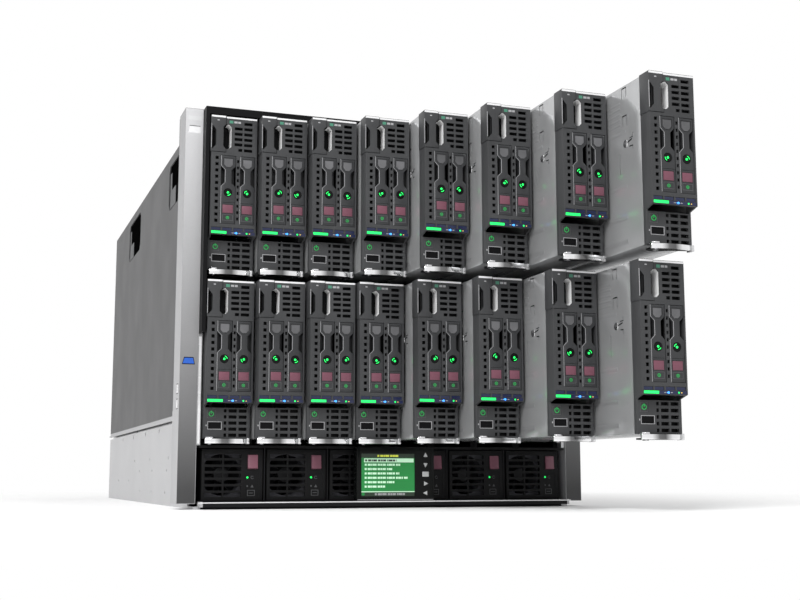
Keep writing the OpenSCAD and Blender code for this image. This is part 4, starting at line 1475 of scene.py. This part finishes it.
@dataclass
class StatusDisplay(Unit):
    """The sliding status display, placed by its own CAD box."""

    slot: Slot = Slot.DISPLAY
    width: float = 92.5
    thick: float = 12.0
    height: float = 59.8
    key_pitch: float = 10.6
    row_pitch: float = 4.85

    def lines(self, rows: list[tuple[float, float, float]], depth: Flat, thick: float = 1.9) -> Solid:
        """Makes rows of short bars that stand for lines of a menu without any words.

        Args:
            rows: Left end, right end and height of each row.
            depth: Span of the bars behind the face.
            thick: Height of a bar.

        Returns:
            The bars.
        """
        made = Solid()
        for x0, x1, z in rows:
            x, k = x0, 0
            while x < x1 - 0.6:
                span = (2.2, 3.6, 1.4, 4.4, 2.8)[k % 5]
                made.block((x, depth[0], z), (min(x + span, x1), depth[1], z + thick))
                x, k = x + span + (0.5 if k % 3 else 1.3), k + 1
        return made

    def build(self) -> "StatusDisplay":
        """Builds the housing, the lit screen with its rows and the five keys.

        Returns:
            The display itself.
        """
        half, high = self.width / 2, self.height
        outline = [(1.5 - half, 0), (half - 1.5, 0), (half, 1.5), (half, high - 1.5), (half - 1.5, high),
                   (1.5 - half, high), (-half, high - 1.5), (-half, 1.5)]
        body = Solid().prism(outline, Plane.XZ, 0, self.thick).soften(0.6, 2)
        body.carve(Solid().block((5.5 - half, -1, 4.5), (69 - half, 1.2, high - 8)))
        body.carve(Solid().block((73.5 - half, -1, 3), (half - 4, 0.5, high - 5)))
        self.add("housing", body, GLOSS)
        s0, s1, top = 5.6 - half, 68.9 - half, high - 8.1
        glass = Solid().block((s0, 0.9, 4.6), (s1, 1.15, top))
        self.add("screen_black", glass, SCREEN_DARK)
        green = Solid().block((s0, 0.6, 9.6), (s1, 0.88, top - 4.6))
        green.rod((s0 + 2.2, 0.85, 7.0), Plane.XZ, 1.8, -0.25, segments=18)
        self.add("screen", green, SCREEN)
        lengths = (42, 33, 41, 52, 35, 24)
        rows = [(s0 + 4, s0 + 4 + length, top - 13.4 - k * self.row_pitch)
                for k, length in enumerate(lengths)]
        pale = self.lines(rows, (0.4, 0.58), 2.3)
        pale.block((s0 + 3.2, 0.4, top - 9.6), (s1 - 1.2, 0.58, top - 5.2))
        pale.block((s0 + 0.2, 0.4, 9.0), (s1 - 0.2, 0.58, 10.0))
        self.add("screen_rows", pale, SCREEN_PALE)
        dark = self.lines([(s0 + 4.4, s0 + 42, top - 8.6)], (0.3, 0.42), 2.2)
        self.add("chosen_row", dark, SCREEN_DARK)
        gold = self.lines([(s0 + 19, s0 + 44, top - 3.4)], (0.7, 0.88), 2.1)
        self.add("title_row", gold, SCREEN_GOLD)
        foot = self.lines([(s0 + 16, s0 + 52, 5.6)], (0.7, 0.88), 2.3)
        self.add("foot_row", foot, MARK)
        keys = Solid()
        for k, sign in enumerate((Arrow.LEFT, Arrow.RIGHT, Arrow.ENTER, Arrow.DOWN, Arrow.UP)):
            keys.join(self.key(sign).moved((half - 10.5, 0, 7.8 + k * self.key_pitch)))
        self.add("keys", keys, KEY)
        line = Solid().block((1.2 - half, -0.02, 0.3), (half - 1.2, 0.5, 0.95))
        self.add("lower_edge", line, MARK)
        return self

    @staticmethod
    def key(sign: Arrow) -> Solid:
        """Makes one key as its raised sign.

        Args:
            sign: What the key shows.

        Returns:
            The key about its own middle.
        """
        if sign is Arrow.ENTER:
            made = Solid().block((-3.9, -0.5, -2.8), (3.9, 0.6, 2.8)).soften(0.5, 2)
            return made.carve(Solid().block((-2.4, -1, -1.2), (2.4, -0.2, 1.2)))
        turn = math.radians(sign.value)
        points = [(3.1 * math.cos(turn + a), 3.1 * math.sin(turn + a)) for a in (0.0, 2.2, -2.2)]
        return Solid().prism(points, Plane.XZ, -0.5, 0.6).soften(0.3, 2)


# ---------------------------------------------------------------- enclosure

@dataclass
class Enclosure:
    """The fixed enclosure: CAD nodes with their finishes, and the small fittings that dress them."""

    body: str = "enclosure"
    plate_z: Flat = (430.2, 434.8)
    notch_z: Flat = (415.4, 423.0)
    lens_z: Flat = (156.8, 162.9)
    tab_z: Flat = (125.0, 108.5)
    tab_h: float = 9.5
    lift_y: Flat = (-306.2, 94.5)
    lift_z: Flat = (373.5, 430.5)
    lift_length: float = 130.0
    pieces: list[tuple[str, Solid, Finish, Slot]] = field(default_factory=list)

    def dress(self) -> "Enclosure":
        """Gives every CAD node that stays in view its finish.

        Returns:
            The enclosure itself.
        """
        looks = {"base_pan": PAN, "decks": TRIM, "side_panels": SIDES, "inner_walls": ZINC, "top_cover": SKIN,
                 "midplane": BOARD, "pillars": PILLAR, "front_trim": TRIM, "rear_cage": ZINC,
                 "fan_housings": FAN, "rear_modules": ZINC_BRIGHT}
        for node, finish in looks.items():
            dress_node(node, finish)
        for row in Row:
            for k in range(1, 6):
                dress_node(f"rotor_{row.value}_{k}", FAN_PALE)
        return self

    def add(self, name: str, shape: Solid, finish: Finish, slot: Slot) -> None:
        """Keeps a fitting until all of them are set into place.

        Args:
            name: The fitting's plain name.
            shape: Its shape.
            finish: Its finish.
            slot: Its material slot.
        """
        self.pieces.append((name, shape, finish, slot))

    def front_marks(self) -> None:
        """Makes the bare plate, the notch, the blue lens and the small marks of the left pillar."""
        low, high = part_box("pillars")
        x0, y0 = low.x / MM, low.y / MM
        top = high.z / MM - 0.5
        # the pillar fronts take the front finish with its painted shade, much darker towards the bottom
        face = Solid().block((x0 + 0.4, y0 - 0.03, 6.5), (x0 + 19.8, y0 + 0.2, top))
        face.block((-x0 - 19.8, y0 - 0.03, 6.5), (-x0 - 0.4, y0 + 0.2, top))
        self.add("pillar_faces", face, PILLAR_FRONT, Slot.PILLAR)
        strip = Solid().block((x0 + 20.6, y0 + 1.5, 70), (x0 + 24.0, y0 + 2.5, 187))
        self.add("inner_strip", strip.soften(0.2, 1), EDGE, Slot.LINER)
        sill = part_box("base_pan")[0].y / MM
        lip = Solid().block((-220.8, sill - 0.05, 6.6), (220.8, sill + 0.6, 7.7))
        self.add("sill_edge", lip, EDGE, Slot.BASE)
        plate = Solid().block((x0 + 3.2, y0 - 0.08, self.plate_z[0]), (x0 + 17.8, y0 + 0.6, self.plate_z[1]))
        self.add("bare_plate", plate, KEY, Slot.PILLAR)
        low_z, high_z = self.notch_z
        notch = [(x0 + 4.6, high_z), (x0 + 17.0, high_z), (x0 + 18.0, low_z), (x0 + 3.6, low_z)]
        self.add("notch", Solid().prism(notch, Plane.XZ, y0 - 0.08, y0 + 0.5), EDGE, Slot.PILLAR)
        edge = Solid().block((x0 + 4.6, y0 - 0.1, high_z), (x0 + 17.0, y0 + 0.5, high_z + 0.7))
        low_z, high_z = self.lens_z
        bed = [(x0 + 2.4, low_z - 1), (x0 + 16.6, low_z - 1), (x0 + 15.0, high_z + 1), (x0 + 4.6, high_z + 1)]
        self.add("mark_edges", edge.prism(bed, Plane.XZ, y0 - 0.08, y0 + 0.4), GLOSS, Slot.PILLAR)
        lens = [(x0 + 3.2, low_z), (x0 + 15.8, low_z), (x0 + 14.4, high_z), (x0 + 5.2, high_z)]
        self.add("blue_lens", Solid().prism(lens, Plane.XZ, y0 - 0.12, y0 + 0.4), BLUE_DEEP, Slot.PILLAR)
        tabs, beds = Solid(), Solid()
        for z in self.tab_z:
            tabs.block((x0 - 0.10, y0 + 6.5, z), (x0 + 0.3, y0 + 15.5, z + self.tab_h))
            beds.block((x0 - 0.05, y0 + 5.5, z - 0.9), (x0 + 0.3, y0 + 16.5, z + self.tab_h + 0.9))
        self.add("side_tabs", tabs, EDGE, Slot.PILLAR)
        self.add("side_tab_beds", beds, BLACK_AND_SHADE, Slot.PILLAR)

    def paint_slot_shade_and_brackets(self) -> None:
        """Paints shade on the wall behind each lift slot and sets its bracket plate."""
        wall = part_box("inner_walls")[1].x / MM
        length, (foot, top) = self.lift_length, self.lift_z
        dark, bracket = Solid(), Solid()
        for side in (-1, 1):
            for y in self.lift_y:
                low, high = sorted((side * (wall + 0.02), side * (wall + 0.25)))
                # painted shade: a black sheet on the wall inside each lift slot
                dark.block((low, y + 0.5, foot), (high, y + length - 0.5, top))
                low, high = sorted((side * (wall + 0.26), side * (wall + 1.0)))
                bracket.block((low, y + length * 0.62, foot + 1.5), (high, y + length * 0.94, foot + 24.5))
                bracket.block((low, y + length * 0.86, foot + 24.5), (high, y + length * 0.94, foot + 47.5))
        self.add("slot_shade", dark, PAINTED_SHADE, Slot.LINER)
        self.add("slot_brackets", bracket.soften(0.25, 1), LINE, Slot.LINER)

    def finish(self) -> None:
        """Sets every fitting into place on the enclosure."""
        for name, shape, finish, slot in self.pieces:
            make(name, shape, finish).put("enclosure", self.body, slot.value, Vector((0, 0, 0)))


# ---------------------------------------------------------------- studio

@dataclass(frozen=True)
class Lamp:
    """One soft area lamp."""

    name: str
    place: Point
    target: Point
    size: Flat
    power: float

    def hang(self) -> None:
        """Hangs the lamp, turned towards its target."""
        data = bpy.data.lights.new(self.name, "AREA")
        data.shape, data.energy = "RECTANGLE", self.power
        data.size, data.size_y = self.size
        lamp = bpy.data.objects.new(self.name, data)
        lamp.location = self.place
        lamp.rotation_euler = (Vector(self.target) - Vector(self.place)).to_track_quat("-Z", "Y").to_euler()
        bpy.context.scene.collection.objects.link(lamp)


@dataclass(frozen=True)
class Studio:
    """White surroundings, a pale floor and soft lamps round the enclosure."""

    place: Point = (-0.457957, -1.727696, 0.034275)
    yaw: float = 19.570
    pitch: float = 8.267
    roll: float = 0.076
    lens: float = 54.821
    sensor: float = 36.0
    ambient: float = 0.62
    floor_half: float = 40.0
    floor_ends: Flat = (0.75, 1.30)
    lamps: tuple[Lamp, ...] = (
        Lamp("key", (-1.5, -2.2, 1.9), (-0.1, -0.4, 0.25), (1.2, 1.2), 62.0),
        Lamp("top", (0.0, -0.3, 2.6), (0.0, -0.2, 0.4), (2.6, 2.0), 26.0))

    def camera(self) -> None:
        """Sets up the camera low in front of the left corner, looking up and to the right."""
        data = bpy.data.cameras.new("camera")
        data.lens, data.sensor_width, data.sensor_fit = self.lens, self.sensor, "HORIZONTAL"
        data.clip_start, data.clip_end = 0.01, 100.0
        camera = bpy.data.objects.new("camera", data)
        yaw, pitch, roll = (math.radians(a) for a in (self.yaw, self.pitch, self.roll))
        turn = Euler((math.pi / 2 + pitch, 0, -yaw)).to_matrix() @ Matrix.Rotation(-roll, 3, "Z")
        camera.matrix_world = Matrix.Translation(self.place) @ turn.to_4x4()
        bpy.context.scene.collection.objects.link(camera)
        bpy.context.scene.camera = camera

    def floor(self) -> None:
        """Lays the pale floor."""
        bm = bmesh.new()
        bmesh.ops.create_grid(bm, x_segments=1, y_segments=1, size=self.floor_half)
        shape = bpy.data.meshes.new("floor")
        bm.to_mesh(shape)
        bm.free()
        floor = bpy.data.objects.new("floor", shape)
        bpy.context.scene.collection.objects.link(floor)
        shape.materials.append(self.floor_paint())

    def floor_paint(self) -> bpy.types.Material:
        """Makes the floor's paint, which turns into the white backdrop away from the object.

        Returns:
            The floor's material.
        """
        made = Finish("floor_paint", (0.92, 0.92, 0.92), 0.9, bump=0.0, spread=0.0, shine=0.1).material()
        tree = made.node_tree
        shader = find(tree, "BSDF_PRINCIPLED")
        away = tree.nodes.new("ShaderNodeVectorMath")
        away.operation = "LENGTH"
        tree.links.new(tree.nodes.new("ShaderNodeTexCoord").outputs["Object"], away.inputs[0])
        level = tree.nodes.new("ShaderNodeMapRange")
        level.interpolation_type = "SMOOTHSTEP"
        level.inputs["From Min"].default_value, level.inputs["From Max"].default_value = self.floor_ends
        tree.links.new(away.outputs["Value"], level.inputs["Value"])
        share = reckon(tree, "MULTIPLY", seen_directly(tree), level.outputs["Result"])
        white = tree.nodes.new("ShaderNodeEmission")
        blend(tree, share, shader.outputs[0], white.outputs[0])
        return made

    def surroundings(self) -> None:
        """Makes the world white to the eye and softly lit to everything else."""
        world = bpy.data.worlds.new("world")
        bpy.context.scene.world = world
        world.use_nodes = True
        tree = world.node_tree
        soft = find(tree, "BACKGROUND")
        soft.inputs["Color"].default_value = (1, 1, 1, 1)
        soft.inputs["Strength"].default_value = self.ambient
        white = tree.nodes.new("ShaderNodeBackground")
        white.inputs["Color"].default_value = (1, 1, 1, 1)
        blend(tree, seen_directly(tree), soft.outputs[0], white.outputs[0])

    def build(self) -> None:
        """Sets up camera, floor, lamps, world and view transform."""
        self.camera()
        self.floor()
        self.surroundings()
        for lamp in self.lamps:
            lamp.hang()
        bpy.context.scene.view_settings.view_transform = "Standard"


def place_blades(blade: Blade, lever: Lever) -> None:
    """Sets the blade's and the lever's parts into place sixteen times.

    Args:
        blade: The blade's prototypes.
        lever: The lever's prototypes.
    """
    lamps = [blade.lamp(turn) for turn in (60.0, 150.0, 225.0, -40.0)]
    for row in Row:
        for k in range(1, 9):
            node, arm = f"blade_{row.value}_{k}", f"lever_{row.value}_{k}"
            low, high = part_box(node)
            place = Vector((high.x - blade.width / 2 * MM, high.y - blade.depth * MM, low.z))
            blade.place(node, node, place)
            for side, u in enumerate(blade.drive_u):
                bed = Vector(blade.spot(u + blade.lamp_at[0], blade.lamp_at[1], 0.1)) * MM
                lamp = lamps[(k * 3 + side * 2 + (row is Row.UPPER)) % len(lamps)]
                lamp.put(f"{node}_{side + 1}", node, blade.slot.value, place + bed, node)
            lever.place(arm, arm, place)


def place_supplies(supply: PowerSupply) -> None:
    """Sets the supply's parts into place six times.

    Args:
        supply: The supply's prototypes.
    """
    for k in range(1, 7):
        node = f"psu_{k}"
        low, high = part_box(node)
        body = "enclosure" if k in FIXED_SUPPLIES else node
        supply.place(node, body, Vector(((low.x + high.x) / 2, high.y - supply.depth * MM, low.z)))


def main() -> None:
    """Builds the enclosure's looks over the CAD frame."""
    logging.basicConfig(level=logging.INFO, format="%(name)s: %(message)s")
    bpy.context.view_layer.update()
    Studio().build()
    enclosure = Enclosure().dress()
    enclosure.front_marks()
    enclosure.paint_slot_shade_and_brackets()
    enclosure.finish()
    LOG.info("enclosure dressed with %d fittings", len(enclosure.pieces))
    blade, lever = Blade().build(), Lever().build()
    place_blades(blade, lever)
    LOG.info("16 blades from %d parts each", len(blade.parts))
    place_supplies(PowerSupply().build())
    low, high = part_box("display")
    middle = (low.x + high.x) / 2
    StatusDisplay().build().place("display", "display", Vector((middle, low.y + DISPLAY_FACE * MM, low.z)))


if __name__ == "__main__":
    main()
